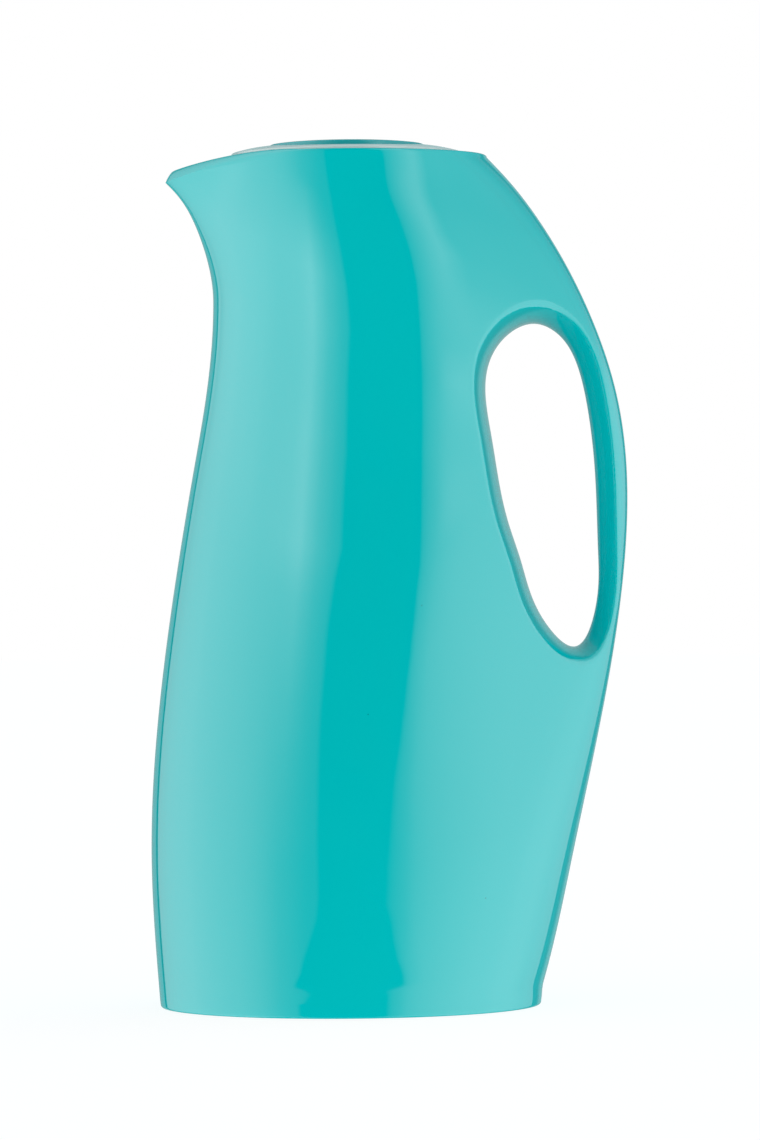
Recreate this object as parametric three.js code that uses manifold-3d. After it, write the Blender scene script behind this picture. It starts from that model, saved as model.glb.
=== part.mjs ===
// Insulated jug: a one-litre vacuum jug with a beak spout, a loop handle and a push-button stopper.
// Millimetres, +Z up. The origin lies on the neck's axis at floor level.
// The spout points to -X, the handle to +X.
import * as THREE from "three";
import { mergeVertices } from "three/addons/utils/BufferGeometryUtils.js";
import Module from "manifold-3d";

const wasm = await Module();
wasm.setup();

// Overall form, as seen from the side and from behind
const RIM_HEIGHT = 282.7;
const RIM_RADIUS = 44;
const RIM_BACK = 45.9;
const FOOT_RADIUS = 63.5;
const FOOT_OFFSET = 1;
const FOOT_BAND = 8;
const FOOT_BAND_SWELL = 0.7;
const BELLY_HEIGHT = 50;
const BELLY_HALF_DEPTH = 66.6;
const BELLY_FRONT = 67;
const NECK_HEIGHT = 230;
const NECK_HALF_DEPTH = 46.8;
const NECK_FRONT = 45;
const HANDLE_HEIGHT = 178;
const HANDLE_REACH = 92.4;
const STRAP_HALF_WIDTH = 13.5;
const STRAP_THICKNESS = 10;
const EDGE = 0.8;

// Spout
const SPOUT_REACH = 60.5;
const SPOUT_HEIGHT = 40;
const SPOUT_DROP = 7.4;
const SPOUT_DROP_START = 15;
const SPOUT_DROP_BEND = 1.8;
const SPOUT_TIP_HALF_WIDTH = 7;
const SPOUT_ROOT_HALF_WIDTH = 24;
const SPOUT_ROOT_DEPTH = 16;
const LIP_RISE = 3.8;
const LIP_SETBACK = 2.7;

// Hand hole through the handle, which widens towards both faces
const HOLE_TOP = 226.6;
const HOLE_BOTTOM = 118.9;
const HOLE_BODY_INSET = 3;
const HOLE_FLARE = 0.1;
const HOLE_FLARE_BACK = 0.36;
const HOLE_FLARE_TOP = 0.13;

// Walls and fits
const WALL = 2.6;
const GAP = 0.3;
const RUN = 0.5;
const THREAD_RUN = 0.8;
const THREAD_BEVEL = 0.25;
const THREAD_FADE = 0.2;

// Neck: the seat inside the shell, and the threaded collar above it
const SEAT_DEPTH = 43.7;
const SEAT_THICKNESS = 3;
const SEAT_BORE = 27;
const COLLAR_INSET = 7.5;
const COLLAR_BORE = RIM_RADIUS - COLLAR_INSET;
const COLLAR_WALL = 2.2;
const COLLAR_FLOOR = 2.2;
const COLLAR_HEIGHT = 26;
const COLLAR_FLANGE = 3;
const MOUTH_THREAD_LEAD = 24;
const MOUTH_THREAD_STARTS = 3;
const MOUTH_THREAD_HEIGHT = 2.2;
const MOUTH_THREAD_WIDTH = 3;
const MOUTH_THREAD_SWEEP = THREE.MathUtils.degToRad(100);
const MOUTH_THREAD_RISE = 10;

// Vacuum flask
const GLASS = 1.5;
const VACUUM = 4;
const FLASK_MOUTH_RADIUS = 20;
const FLASK_NECK_VACUUM = 2.4;
const FLASK_NECK_LENGTH = 10;
const FLASK_SHOULDER_HEIGHT = 112;
const FLASK_BASE_HEIGHT = 20;
const FLASK_BASE_DOME = 30;
const FLASK_CLEARANCE = 2.4;
const SEAL_TIP_RADIUS = 4;
const SEAL_TIP_LENGTH = 8;
const SPACER_COUNT = 3;
const SPACER_RADIUS = 5;
const SPACER_HEIGHT = 70;
const NECK_GASKET_THICKNESS = 3.1;
const NECK_GASKET_SKIRT = 8;
const NECK_GASKET_WALL = 3;

// Stopper
const LID_RISE = 4.8;
const LID_HEIGHT = RIM_HEIGHT + LID_RISE;
const LID_INSET = 5.5;
const LID_RADIUS = RIM_RADIUS - LID_INSET;
const LID_DEPTH = 10.5;
const LID_SKIRT = 2;
const LID_PLATE = 2.4;
const LID_CROWN = 2.8;
const LID_CROWN_WIDTH = 12.8;
const BUTTON_RADIUS = LID_RADIUS - LID_CROWN_WIDTH;
const BUTTON_STEP = 0.9;
const BUTTON_PLATE = 2.2;
const BUTTON_SKIRT = 2;
const BUTTON_SKIRT_LENGTH = 11;
const BUTTON_TRAVEL = 5;
const SLEEVE_WALL = 2;
const SLEEVE_LENGTH = 18;
const BOSS_RADIUS = 6;
const BOSS_LENGTH = 11;
const BARREL_RADIUS = COLLAR_BORE - MOUTH_THREAD_HEIGHT - THREAD_RUN;
const BARREL_WALL = 2.5;
const BARREL_FLOOR = 2.4;
const NOSE_CLEARANCE = 2;
const NOSE_RADIUS = FLASK_MOUTH_RADIUS - NOSE_CLEARANCE;
const NOSE_WALL = 2;
const NOSE_LENGTH = 22;
const WINDOW_COUNT = 6;
const WINDOW_WIDTH = 20;
const WINDOW_HEIGHT = 8;
const WINDOW_SILL = 1.5;
const STOPPER_GASKET_THICKNESS = 2;
const STOPPER_GASKET_INNER = 25;
const GUIDE_PLATE = 2.5;
const GUIDE_HUB_WALL = 2.2;
const GUIDE_PORT_COUNT = 5;
const GUIDE_PORT_RADIUS = 3.6;
const GUIDE_PORT_CIRCLE = 11;
const STEM_RADIUS = 3;
const VALVE_PLATE_THICKNESS = 2.9;
const VALVE_SEAL_THICKNESS = 2;
const VALVE_SEAL_INNER = 12;
const VALVE_NUT_RADIUS = 6;
const VALVE_NUT_THICKNESS = 3.2;
const SPRING_RADIUS = 8.6;
const SPRING_WIRE = 1.4;
const SPRING_TURNS = 6;

// Screwed base
const FOOT_RING_WIDTH = 5.5;
const BASE_BORE = FOOT_RADIUS - FOOT_RING_WIDTH;
const BASE_BORE_DEPTH = 15;
const BASE_RECESS = 1;
const BASE_FLOOR = 3;
const BASE_WALL = 2.5;
const BASE_HEIGHT = 13;
const BASE_THREAD_LEAD = 6;
const BASE_THREAD_HEIGHT = 1.6;
const BASE_THREAD_WIDTH = 2.2;
const BASE_THREAD_SWEEP = THREE.MathUtils.degToRad(330);
const BASE_THREAD_RISE = 2.5;
const GRIP_BAR_WIDTH = 13;
const GRIP_POCKET_RADIUS = 40;
const GRIP_POCKET_DEPTH = 1.8;
const CUSHION_RADIUS = 36;
const CUSHION_BORE = 12;
const CUSHION_RIB = 2;
const CUSHION_RIB_HEIGHT = 4;

// How finely the round forms are divided
const FLANK_ANGLES = [0, 48, 80, 180];
const FLANK_STEPS = [5, 8, 10];
const AROUND_RING = 32;
const AROUND_FLASK = 24;
const AROUND_SMALL = 16;
const BODY_STEP = 12;
const SPOUT_STEP = 7;
const HOLLOW_STEP = 20;
const HOLLOW_COARSENESS = 2;
const HOLE_STEPS = 48;
const HULL_POWER = 24;
const SINK = 0.6;
const MERGE_DISTANCE = 1e-3;
const SLOPE_STEP = 1e-3;
const FULL_TURN = 2 * Math.PI;

const { clamp, lerp, smoothstep } = THREE.MathUtils;

// Solids, joined and cut

function solidOf(geometry) {
  const loose = geometry.index ? geometry.toNonIndexed() : geometry;
  const bare = new THREE.BufferGeometry();
  bare.setAttribute("position", loose.getAttribute("position"));
  const merged = mergeVertices(bare, MERGE_DISTANCE);
  const vertProperties = merged.attributes.position.array;
  const triVerts = new Uint32Array(merged.index.array);
  return new wasm.Manifold(new wasm.Mesh({ numProp: 3, vertProperties, triVerts }));
}

function geometryOf(solid) {
  const mesh = solid.getMesh();
  const geometry = new THREE.BufferGeometry();
  geometry.setAttribute("position", new THREE.BufferAttribute(mesh.vertProperties, 3));
  geometry.setIndex(new THREE.BufferAttribute(mesh.triVerts, 1));
  return geometry;
}

// A solid of revolution about Z from [radius, height] points that run anticlockwise.
function lathe(profile, segments = AROUND_RING) {
  const points = profile.map(([radius, height]) => new THREE.Vector2(radius, height));
  return new THREE.LatheGeometry(points, segments).rotateX(Math.PI / 2);
}

// A plain ring between two radii and two heights.
function ring(inner, outer, low, high, segments = AROUND_RING) {
  return lathe([[inner, low], [outer, low], [outer, high], [inner, high], [inner, low]], segments);
}

function disc(radius, low, high, segments = AROUND_RING) {
  return lathe([[0, low], [radius, low], [radius, high], [0, high]], segments);
}

function middleOf(points) {
  const sum = new THREE.Vector3();
  points.forEach((point) => sum.add(point));
  return sum.divideScalar(points.length);
}

// A closed skin over rings of points. Each ring turns anticlockwise about the way the rings follow
// each other.
function loft(rings) {
  const count = rings[0].length;
  const points = rings.flat();
  const first = points.push(middleOf(rings[0])) - 1;
  const last = points.push(middleOf(rings.at(-1))) - 1;
  const top = (rings.length - 1) * count;
  const faces = [];
  for (let j = 0; j < count; j++) {
    const k = (j + 1) % count;
    faces.push(first, k, j, last, top + j, top + k);
    for (let row = 0; row < top; row += count) {
      faces.push(row + j, row + k, row + count + k);
      faces.push(row + j, row + count + k, row + count + j);
    }
  }
  const geometry = new THREE.BufferGeometry().setFromPoints(points);
  geometry.setIndex(faces);
  return geometry;
}

// One thread ridge from its wall to its crest. It climbs with the turn and dies away into the wall at
// both ends.
function threadRidge({ wall, crest, width, lead, sweep, start, foot }) {
  const steps = Math.ceil(sweep / (FULL_TURN / AROUND_RING));
  const outward = Math.sign(crest - wall);
  const bevel = THREAD_BEVEL * width;
  const rings = [];
  for (let i = 0; i <= steps; i++) {
    const turned = (sweep * i) / steps;
    const low = foot + (lead * turned) / FULL_TURN;
    const high = low + width;
    const height = i === 0 || i === steps ? THREAD_FADE : 1;
    const root = wall - outward * SINK;
    const top = lerp(wall, crest, height);
    const section = [[root, low], [root, high], [top, high - bevel], [top, low + bevel]];
    const ordered = outward > 0 ? section : [section[3], section[2], section[1], section[0]];
    const angle = start + turned;
    rings.push(ordered.map(([r, z]) => new THREE.Vector3(r * Math.cos(angle), r * Math.sin(angle), z)));
  }
  return loft(rings);
}

// Outer form: a smooth curve through a few levels, floor to rim

function rail(points) {
  const sorted = [...points].sort((a, b) => a[0] - b[0]);
  const end = sorted.length - 1;
  const slopes = sorted.map((point, i) => {
    const before = sorted[Math.max(i - 1, 0)];
    const after = sorted[Math.min(i + 1, end)];
    return (after[1] - before[1]) / (after[0] - before[0]);
  });
  return (height) => {
    const above = sorted.findIndex((point) => point[0] >= height);
    const i = clamp((above < 0 ? end : above) - 1, 0, end - 1);
    const span = sorted[i + 1][0] - sorted[i][0];
    const t = clamp((height - sorted[i][0]) / span, 0, 1);
    const rise = t * t * (3 - 2 * t);
    const leave = t * (1 - t) * (1 - t) * span;
    const arrive = t * t * (t - 1) * span;
    return lerp(sorted[i][1], sorted[i + 1][1], rise) + slopes[i] * leave + slopes[i + 1] * arrive;
  };
}

// The body's lines, level by level: the reach to the front, the half depth, the centre of the round vessel,
// the reach to the back, and the half width and depth of the rounded end that becomes the handle.
const LINE_NAMES = ["height", "front", "half", "centre", "back", "endHalf", "endDepth"];
const FOOT_FRONT = FOOT_RADIUS + FOOT_OFFSET;
const FOOT_BACK = FOOT_RADIUS - FOOT_OFFSET;
const BAND_FRONT = FOOT_FRONT + FOOT_BAND_SWELL;
const BAND_RADIUS = FOOT_RADIUS + FOOT_BAND_SWELL;
const BAND_BACK = FOOT_BACK + 2 * FOOT_BAND_SWELL;
const LINES = [
  [0, FOOT_FRONT, FOOT_RADIUS, -FOOT_OFFSET, FOOT_BACK, 50, 40],
  [FOOT_BAND, BAND_FRONT, BAND_RADIUS, -FOOT_OFFSET, BAND_BACK, 50, 40],
  [BELLY_HEIGHT, BELLY_FRONT, BELLY_HALF_DEPTH, 0.6, 73.4, 52, 45],
  [100, 64, 63, 3.5, 84.2, 30, 25],
  [150, 56.9, 55, 8, 91.7, 15.5, 10],
  [HANDLE_HEIGHT, 52, 50.3, 10, HANDLE_REACH, STRAP_HALF_WIDTH, 8],
  [203, 47.6, 48, 11, 89.2, STRAP_HALF_WIDTH, 8],
  [NECK_HEIGHT, NECK_FRONT, NECK_HALF_DEPTH, 10, 80.4, 14, 8],
  [RIM_HEIGHT - 22, 44.9, 45.2, 5.5, 64, 17, 9],
  [RIM_HEIGHT - 8, 44.2, 44.3, 1.5, 53.4, 27, 14],
  [RIM_HEIGHT, RIM_RADIUS, RIM_RADIUS, 0, RIM_BACK, 30, 20],
];
const lineOf = (name) => rail(LINES.map((line) => [line[0], line[LINE_NAMES.indexOf(name)]]));
const frontAt = lineOf("front");
const halfAt = lineOf("half");
const centreAt = lineOf("centre");
const backAt = lineOf("back");
const endHalfAt = lineOf("endHalf");
const endDepthAt = lineOf("endDepth");

const CREASE_HEIGHT = RIM_HEIGHT - EDGE;
const TIP_HEIGHT = CREASE_HEIGHT - SPOUT_DROP;
const DROP_BASE = TIP_HEIGHT - SPOUT_HEIGHT;

// How far an oval of half axes a and b, centred at x = centre, reaches in the direction of angle.
function ovalReach(centre, a, b, angle) {
  return centre * Math.cos(angle) + Math.hypot(a * Math.cos(angle), b * Math.sin(angle));
}

// The reach that brings a smooth hull up to the wanted reach when it is joined to a smaller one.
function topUp(wanted, smaller) {
  return Math.pow(Math.max(Math.pow(wanted, HULL_POWER) - Math.pow(smaller, HULL_POWER), 1), 1 / HULL_POWER);
}

// How far the body reaches at a level in the direction of angle: the smooth hull of vessel, handle and beak.
function hullReach(level, angle) {
  const centre = centreAt(level);
  const half = halfAt(level);
  const front = frontAt(level);
  const lengthwise = Math.cos(angle) < 0 ? front + centre : half;
  const vessel = ovalReach(centre, lengthwise, half, angle);

  const back = topUp(backAt(level), centre + half);
  const depth = Math.min(endDepthAt(level), back);
  const handle = ovalReach(back - depth, depth, endHalfAt(level), angle);

  const below = clamp((TIP_HEIGHT - spoutHeight(level)) / SPOUT_HEIGHT, 0, 1);
  const flare = (SPOUT_REACH - RIM_RADIUS) * (1 - below) * (1 - below);
  const reach = topUp(front + flare, front);
  const beakDepth = Math.min(lerp(SPOUT_TIP_HALF_WIDTH, SPOUT_ROOT_DEPTH, below), reach);
  const beakHalf = lerp(SPOUT_TIP_HALF_WIDTH, SPOUT_ROOT_HALF_WIDTH, below);
  const beak = ovalReach(beakDepth - reach, beakDepth, beakHalf, angle);

  const sum = [vessel, handle, beak].reduce((total, h) => total + Math.pow(Math.max(h, 0), HULL_POWER), 0);
  return Math.pow(sum, 1 / HULL_POWER);
}

// How much of the spout's drop a level takes, and the height of that level at the spout.
const dropShare = (level) => smoothstep(level, DROP_BASE, CREASE_HEIGHT);
const spoutHeight = (level) => level - SPOUT_DROP * dropShare(level);

// How far a point lies towards the spout's tip, from 0 to 1.
const towardsTip = (x) => clamp((-x - SPOUT_DROP_START) / (SPOUT_REACH - SPOUT_DROP_START), 0, 1);

// A point of the body's skin, moved inwards by inset. Towards the spout each level dips.
function skinPoint(level, angle, inset = 0) {
  const reach = hullReach(level, angle);
  const rise = hullReach(level, angle + SLOPE_STEP) - hullReach(level, angle - SLOPE_STEP);
  const slope = rise / (2 * SLOPE_STEP);
  const x = (reach - inset) * Math.cos(angle) - slope * Math.sin(angle);
  const y = (reach - inset) * Math.sin(angle) + slope * Math.cos(angle);
  const outerX = x + inset * Math.cos(angle);
  const dip = SPOUT_DROP * dropShare(level) * Math.pow(towardsTip(outerX), SPOUT_DROP_BEND);
  return new THREE.Vector3(x, y, level - dip);
}

// Directions round the body, back to front and mirrored. They crowd where the flank is nearly flat.
function bodyAngles(coarseness = 1) {
  const half = [];
  FLANK_STEPS.forEach((steps, i) => {
    const count = Math.ceil(steps / coarseness);
    for (let k = 0; k < count; k++) half.push(lerp(FLANK_ANGLES[i], FLANK_ANGLES[i + 1], k / count));
  });
  const mirrored = half.slice(1).reverse().map((angle) => 360 - angle);
  return [...half, 180, ...mirrored].map(THREE.MathUtils.degToRad);
}

function skinRing(level, inset = 0, coarseness = 1) {
  return bodyAngles(coarseness).map((angle) => skinPoint(level, angle, inset));
}

// The rim's top edge: it steps in from the crease, more so at the spout's tip.
function rimRing(inset = 0, lift = 0, coarseness = 1) {
  return bodyAngles(coarseness).map((angle) => {
    const crease = skinPoint(CREASE_HEIGHT, angle);
    const share = towardsTip(crease.x);
    const stepIn = lerp(EDGE, LIP_SETBACK, share) + inset;
    crease.x -= stepIn * Math.cos(angle);
    crease.y -= stepIn * Math.sin(angle);
    crease.z += lerp(EDGE, LIP_RISE, share) + lift;
    return crease;
  });
}

// Levels from one height to another, in equal steps of about the given size.
function levels(from, to, step) {
  const count = Math.max(1, Math.round((to - from) / step));
  return Array.from({ length: count + 1 }, (_, i) => lerp(from, to, i / count));
}

// Hand hole

const holeFrontAt = (height) => frontAt(height) - HOLE_BODY_INSET;
const holeBackAt = (height) => backAt(height) - STRAP_THICKNESS;

// The hole's outline in the middle plane, clockwise in side view, as [x, z].
function holeOutline() {
  const top = (drop) => HOLE_TOP - drop;
  const bottom = (rise) => HOLE_BOTTOM + rise;
  const points = [
    [lerp(holeFrontAt(top(20)), holeBackAt(top(20)), 0.54), HOLE_TOP],
    [holeBackAt(top(4)) - 3, top(4)],
    [holeBackAt(top(15)) - 0.3, top(15)],
    [holeBackAt(top(26)) - 0.5, top(26)],
    [holeBackAt(top(50)) - 0.5, top(50)],
    [holeBackAt(bottom(32)) + 0.8, bottom(32)],
    [holeBackAt(bottom(12)) + 1, bottom(12)],
    [holeBackAt(bottom(0)) - 3.6, HOLE_BOTTOM],
    [holeFrontAt(bottom(9)) + 6.4, bottom(9)],
    [holeFrontAt(bottom(29)) + 2, bottom(29)],
    [holeFrontAt(top(66)), top(66)],
    [holeFrontAt(top(38)), top(38)],
    [holeFrontAt(top(14)) + 3, top(14)],
    [holeFrontAt(top(4)) + 10.5, top(4)],
  ];
  return new THREE.CatmullRomCurve3(points.map(([x, z]) => new THREE.Vector3(x, 0, z)), true);
}

// How much the hole widens per millimetre from the middle plane, in an outward direction.
function holeFlare(outward) {
  return HOLE_FLARE + HOLE_FLARE_BACK * Math.max(outward.x, 0) + HOLE_FLARE_TOP * Math.max(outward.z, 0);
}

// A solid that fills the hole from face to face, grown by margin all round.
function holeSolid(margin, halfDepth) {
  const curve = holeOutline();
  const shares = Array.from({ length: HOLE_STEPS }, (_, i) => i / HOLE_STEPS);
  const rings = [-halfDepth, 0, halfDepth].map((y) =>
    shares.map((share) => {
      const along = curve.getTangentAt(share);
      const outward = new THREE.Vector3(-along.z, 0, along.x);
      const grown = margin + holeFlare(outward) * Math.abs(y);
      return curve.getPointAt(share).addScaledVector(outward, grown).setY(y);
    }),
  );
  return solidOf(loft(rings));
}

// Heights that the pieces of the neck share

const SEAT_TOP = RIM_HEIGHT - SEAT_DEPTH;
const SEAT_UNDER = SEAT_TOP - SEAT_THICKNESS;
const COLLAR_BASE = SEAT_TOP + GAP;
const COLLAR_FLOOR_TOP = COLLAR_BASE + COLLAR_FLOOR;
const COLLAR_TOP = COLLAR_BASE + COLLAR_HEIGHT;
const STOPPER_GASKET_BASE = COLLAR_FLOOR_TOP + GAP;
const BARREL_BASE = STOPPER_GASKET_BASE + STOPPER_GASKET_THICKNESS + GAP;
const BARREL_FLOOR_TOP = BARREL_BASE + BARREL_FLOOR;
const NOSE_END = BARREL_BASE - NOSE_LENGTH;
const FLANGE_LEVELS = [COLLAR_TOP - COLLAR_FLANGE, COLLAR_TOP];
const FLASK_TOP = SEAT_UNDER - GAP - NECK_GASKET_THICKNESS - GAP;
const BASE_UNDER = BASE_RECESS;
const BASE_FLOOR_TOP = BASE_UNDER + BASE_FLOOR;

function bodyShell() {
  const outerRings = [skinRing(0, EDGE), skinRing(EDGE)];
  const crown = [...levels(DROP_BASE, CREASE_HEIGHT, SPOUT_STEP), ...FLANGE_LEVELS].sort((a, b) => a - b);
  const risers = [...levels(FOOT_BAND, DROP_BASE, BODY_STEP), ...crown.slice(1)];
  risers.forEach((level) => outerRings.push(skinRing(level)));
  outerRings.push(rimRing());
  const outer = solidOf(loft(outerRings));

  const hollowLevels = [...levels(BASE_BORE_DEPTH, DROP_BASE, HOLLOW_STEP), ...crown.slice(1)];
  const hollowRings = hollowLevels.map((level) => skinRing(level, WALL, HOLLOW_COARSENESS));
  hollowRings.push(rimRing(WALL - EDGE, LIP_RISE / 2, HOLLOW_COARSENESS));
  const halfDepth = BELLY_HALF_DEPTH + WALL;
  const hollow = solidOf(loft(hollowRings)).subtract(holeSolid(WALL, halfDepth));

  const seatRings = [SEAT_UNDER, SEAT_TOP].map((height) =>
    skinRing(height, WALL - SINK).map((point) => point.setZ(height)),
  );
  const bore = solidOf(disc(BASE_BORE, -SINK, BASE_BORE_DEPTH + SINK));
  const thread = threadRidge({
    wall: BASE_BORE,
    crest: BASE_BORE - BASE_THREAD_HEIGHT,
    width: BASE_THREAD_WIDTH,
    lead: BASE_THREAD_LEAD,
    sweep: BASE_THREAD_SWEEP,
    start: 0,
    foot: BASE_THREAD_RISE,
  });
  const shell = outer
    .subtract(hollow)
    .add(solidOf(loft(seatRings)))
    .subtract(holeSolid(0, 2 * halfDepth))
    .subtract(solidOf(disc(SEAT_BORE, SEAT_UNDER - SINK, SEAT_TOP + SINK)))
    .subtract(bore)
    .add(solidOf(thread));
  return geometryOf(shell);
}

// Mouth thread: the barrel's ridges run half a pitch below the collar's, so the collar holds the stopper.
function mouthThread(wall, crest, foot) {
  const pitch = FULL_TURN / MOUTH_THREAD_STARTS;
  return Array.from({ length: MOUTH_THREAD_STARTS }, (_, i) =>
    threadRidge({
      wall,
      crest,
      width: MOUTH_THREAD_WIDTH,
      lead: MOUTH_THREAD_LEAD,
      sweep: MOUTH_THREAD_SWEEP,
      start: i * pitch,
      foot,
    }),
  );
}
const COLLAR_THREAD_FOOT = COLLAR_BASE + MOUTH_THREAD_RISE;
const BARREL_THREAD_FOOT = COLLAR_THREAD_FOOT - MOUTH_THREAD_LEAD / MOUTH_THREAD_STARTS / 2;

function pourCollar() {
  const outerRadius = COLLAR_BORE + COLLAR_WALL;
  const flange = loft(FLANGE_LEVELS.map((level) => skinRing(level, WALL + GAP, HOLLOW_COARSENESS)));
  const wall = disc(outerRadius, COLLAR_BASE, COLLAR_TOP);
  const floorBore = SEAT_BORE + RUN;
  let collar = solidOf(flange)
    .add(solidOf(wall))
    .subtract(solidOf(disc(COLLAR_BORE, COLLAR_FLOOR_TOP, COLLAR_TOP + COLLAR_FLANGE)))
    .subtract(solidOf(disc(floorBore, COLLAR_BASE - SINK, COLLAR_TOP)));
  mouthThread(COLLAR_BORE, COLLAR_BORE - MOUTH_THREAD_HEIGHT, COLLAR_THREAD_FOOT).forEach((ridge) => {
    collar = collar.add(solidOf(ridge));
  });
  return geometryOf(collar);
}

// Vacuum flask: radii of the outer wall's outside, from the base to the mouth

// The largest circle round the neck's axis that fits inside the shell at a level.
const roomAt = (level) => Math.min(...bodyAngles().map((angle) => hullReach(level, angle))) - WALL;
const BASE_ROOM = BASE_BORE - BASE_THREAD_HEIGHT;
const FLASK_RADIUS = Math.min(BASE_ROOM, roomAt(FLASK_SHOULDER_HEIGHT)) - FLASK_CLEARANCE;
const FLASK_NECK_RADIUS = FLASK_MOUTH_RADIUS + GLASS + FLASK_NECK_VACUUM + GLASS;
const FLASK_NECK_BASE = FLASK_TOP - FLASK_NECK_LENGTH;
const DOME_TOP = FLASK_BASE_HEIGHT + FLASK_BASE_DOME;

// Outline of a flask wall, base to mouth: a domed base, a straight side, an S-curved shoulder and a neck.
function flaskSide(inset, neckRadius, baseRadius, top) {
  const side = FLASK_RADIUS - inset;
  const points = [];
  const domeSteps = 4;
  const start = Math.asin(Math.min(baseRadius / side, 1));
  for (let i = 0; i <= domeSteps; i++) {
    const angle = lerp(start, Math.PI / 2, i / domeSteps);
    points.push([side * Math.sin(angle), DOME_TOP - (FLASK_BASE_DOME - inset) * Math.cos(angle)]);
  }
  const shoulderSteps = 6;
  for (let i = 0; i <= shoulderSteps; i++) {
    const height = lerp(FLASK_SHOULDER_HEIGHT, FLASK_NECK_BASE, i / shoulderSteps);
    const narrowing = smoothstep(height, FLASK_SHOULDER_HEIGHT, FLASK_NECK_BASE);
    points.push([lerp(side, neckRadius, narrowing), height]);
  }
  points.push([neckRadius, top]);
  return points;
}

// A glass wall between an outer and an inner outline, closed at the base and open at the mouth.
function glassWall(outside, inside) {
  const profile = [...outside, ...inside.reverse()];
  if (profile[0][0] > 0) profile.push(profile[0]);
  return lathe(profile, AROUND_FLASK);
}

const LIP_HEIGHT = 2 * GLASS;

function linerOuterGlass() {
  const top = FLASK_TOP - LIP_HEIGHT - GAP;
  const tipHole = SEAL_TIP_RADIUS / 2 + GAP;
  const outside = flaskSide(0, FLASK_NECK_RADIUS, tipHole, top);
  const inside = flaskSide(GLASS, FLASK_NECK_RADIUS - GLASS, tipHole, top);
  return glassWall(outside, inside);
}

// The inner wall turns out over the outer wall's edge at the mouth.
function linerInnerGlass() {
  const inset = GLASS + VACUUM;
  const outside = flaskSide(inset, FLASK_MOUTH_RADIUS + GLASS, 0, FLASK_TOP - LIP_HEIGHT);
  outside.push([FLASK_NECK_RADIUS, FLASK_TOP - LIP_HEIGHT], [FLASK_NECK_RADIUS, FLASK_TOP]);
  const inside = flaskSide(inset + GLASS, FLASK_MOUTH_RADIUS, 0, FLASK_TOP);
  return glassWall(outside, inside);
}

function linerSealTip() {
  const top = FLASK_BASE_HEIGHT + GLASS;
  const under = FLASK_BASE_HEIGHT - GAP;
  const tip = FLASK_BASE_HEIGHT - SEAL_TIP_LENGTH;
  const stem = SEAL_TIP_RADIUS / 2;
  const point = [[0, tip], [stem / 2, tip + 1], [stem, tip + 3]];
  const shoulder = [[SEAL_TIP_RADIUS, under], [stem, under]];
  return lathe([...point, ...shoulder, [stem, top], [0, top]], AROUND_SMALL);
}

// A round pad between the two glass walls, standing out from the axis at an angle.
function linerSpacer(index) {
  const outer = FLASK_RADIUS - GLASS;
  const inner = outer - VACUUM;
  const pad = new THREE.CylinderGeometry(SPACER_RADIUS, SPACER_RADIUS, 2 * VACUUM, AROUND_SMALL);
  pad.rotateZ(Math.PI / 2).translate(outer - VACUUM / 2, 0, SPACER_HEIGHT);
  pad.rotateZ((FULL_TURN * index) / SPACER_COUNT);
  const reach = SPACER_RADIUS + VACUUM;
  const room = ring(inner + GAP, outer - GAP, SPACER_HEIGHT - reach, SPACER_HEIGHT + reach, AROUND_FLASK);
  return geometryOf(solidOf(pad).intersect(solidOf(room)));
}

function neckGasket() {
  const outer = FLASK_NECK_RADIUS + GAP + NECK_GASKET_WALL;
  const top = SEAT_UNDER - GAP;
  const ledge = top - NECK_GASKET_THICKNESS;
  const skirt = FLASK_NECK_RADIUS + GAP;
  const mouth = FLASK_MOUTH_RADIUS;
  const end = ledge - NECK_GASKET_SKIRT;
  const under = [[mouth, ledge], [skirt, ledge], [skirt, end], [outer, end]];
  return lathe([...under, [outer, top], [mouth, top], [mouth, ledge]]);
}

// Stopper

// Height of the lid's crowned top at a radius.
const crownAt = (radius) => LID_HEIGHT - BUTTON_STEP - LID_CROWN * Math.pow(radius / LID_RADIUS, 4);
const SLEEVE_BORE = BUTTON_RADIUS + RUN;
const LID_BASE = LID_HEIGHT - LID_DEPTH;

function lidRing() {
  const top = [];
  const steps = 5;
  for (let i = 0; i <= steps; i++) {
    const radius = lerp(LID_RADIUS, SLEEVE_BORE, i / steps);
    top.push([radius, crownAt(radius)]);
  }
  const skirtInner = LID_RADIUS - LID_SKIRT;
  const sleeveOuter = SLEEVE_BORE + SLEEVE_WALL;
  const sleeveEnd = LID_HEIGHT - SLEEVE_LENGTH;
  const under = [
    [SLEEVE_BORE, sleeveEnd],
    [sleeveOuter, sleeveEnd],
    [sleeveOuter, crownAt(sleeveOuter) - LID_PLATE],
    [skirtInner, crownAt(skirtInner) - LID_PLATE],
    [skirtInner, LID_BASE],
    [LID_RADIUS, LID_BASE],
  ];
  const profile = [...under, ...top];
  profile.push(profile[0]);
  return lathe(profile);
}

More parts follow.
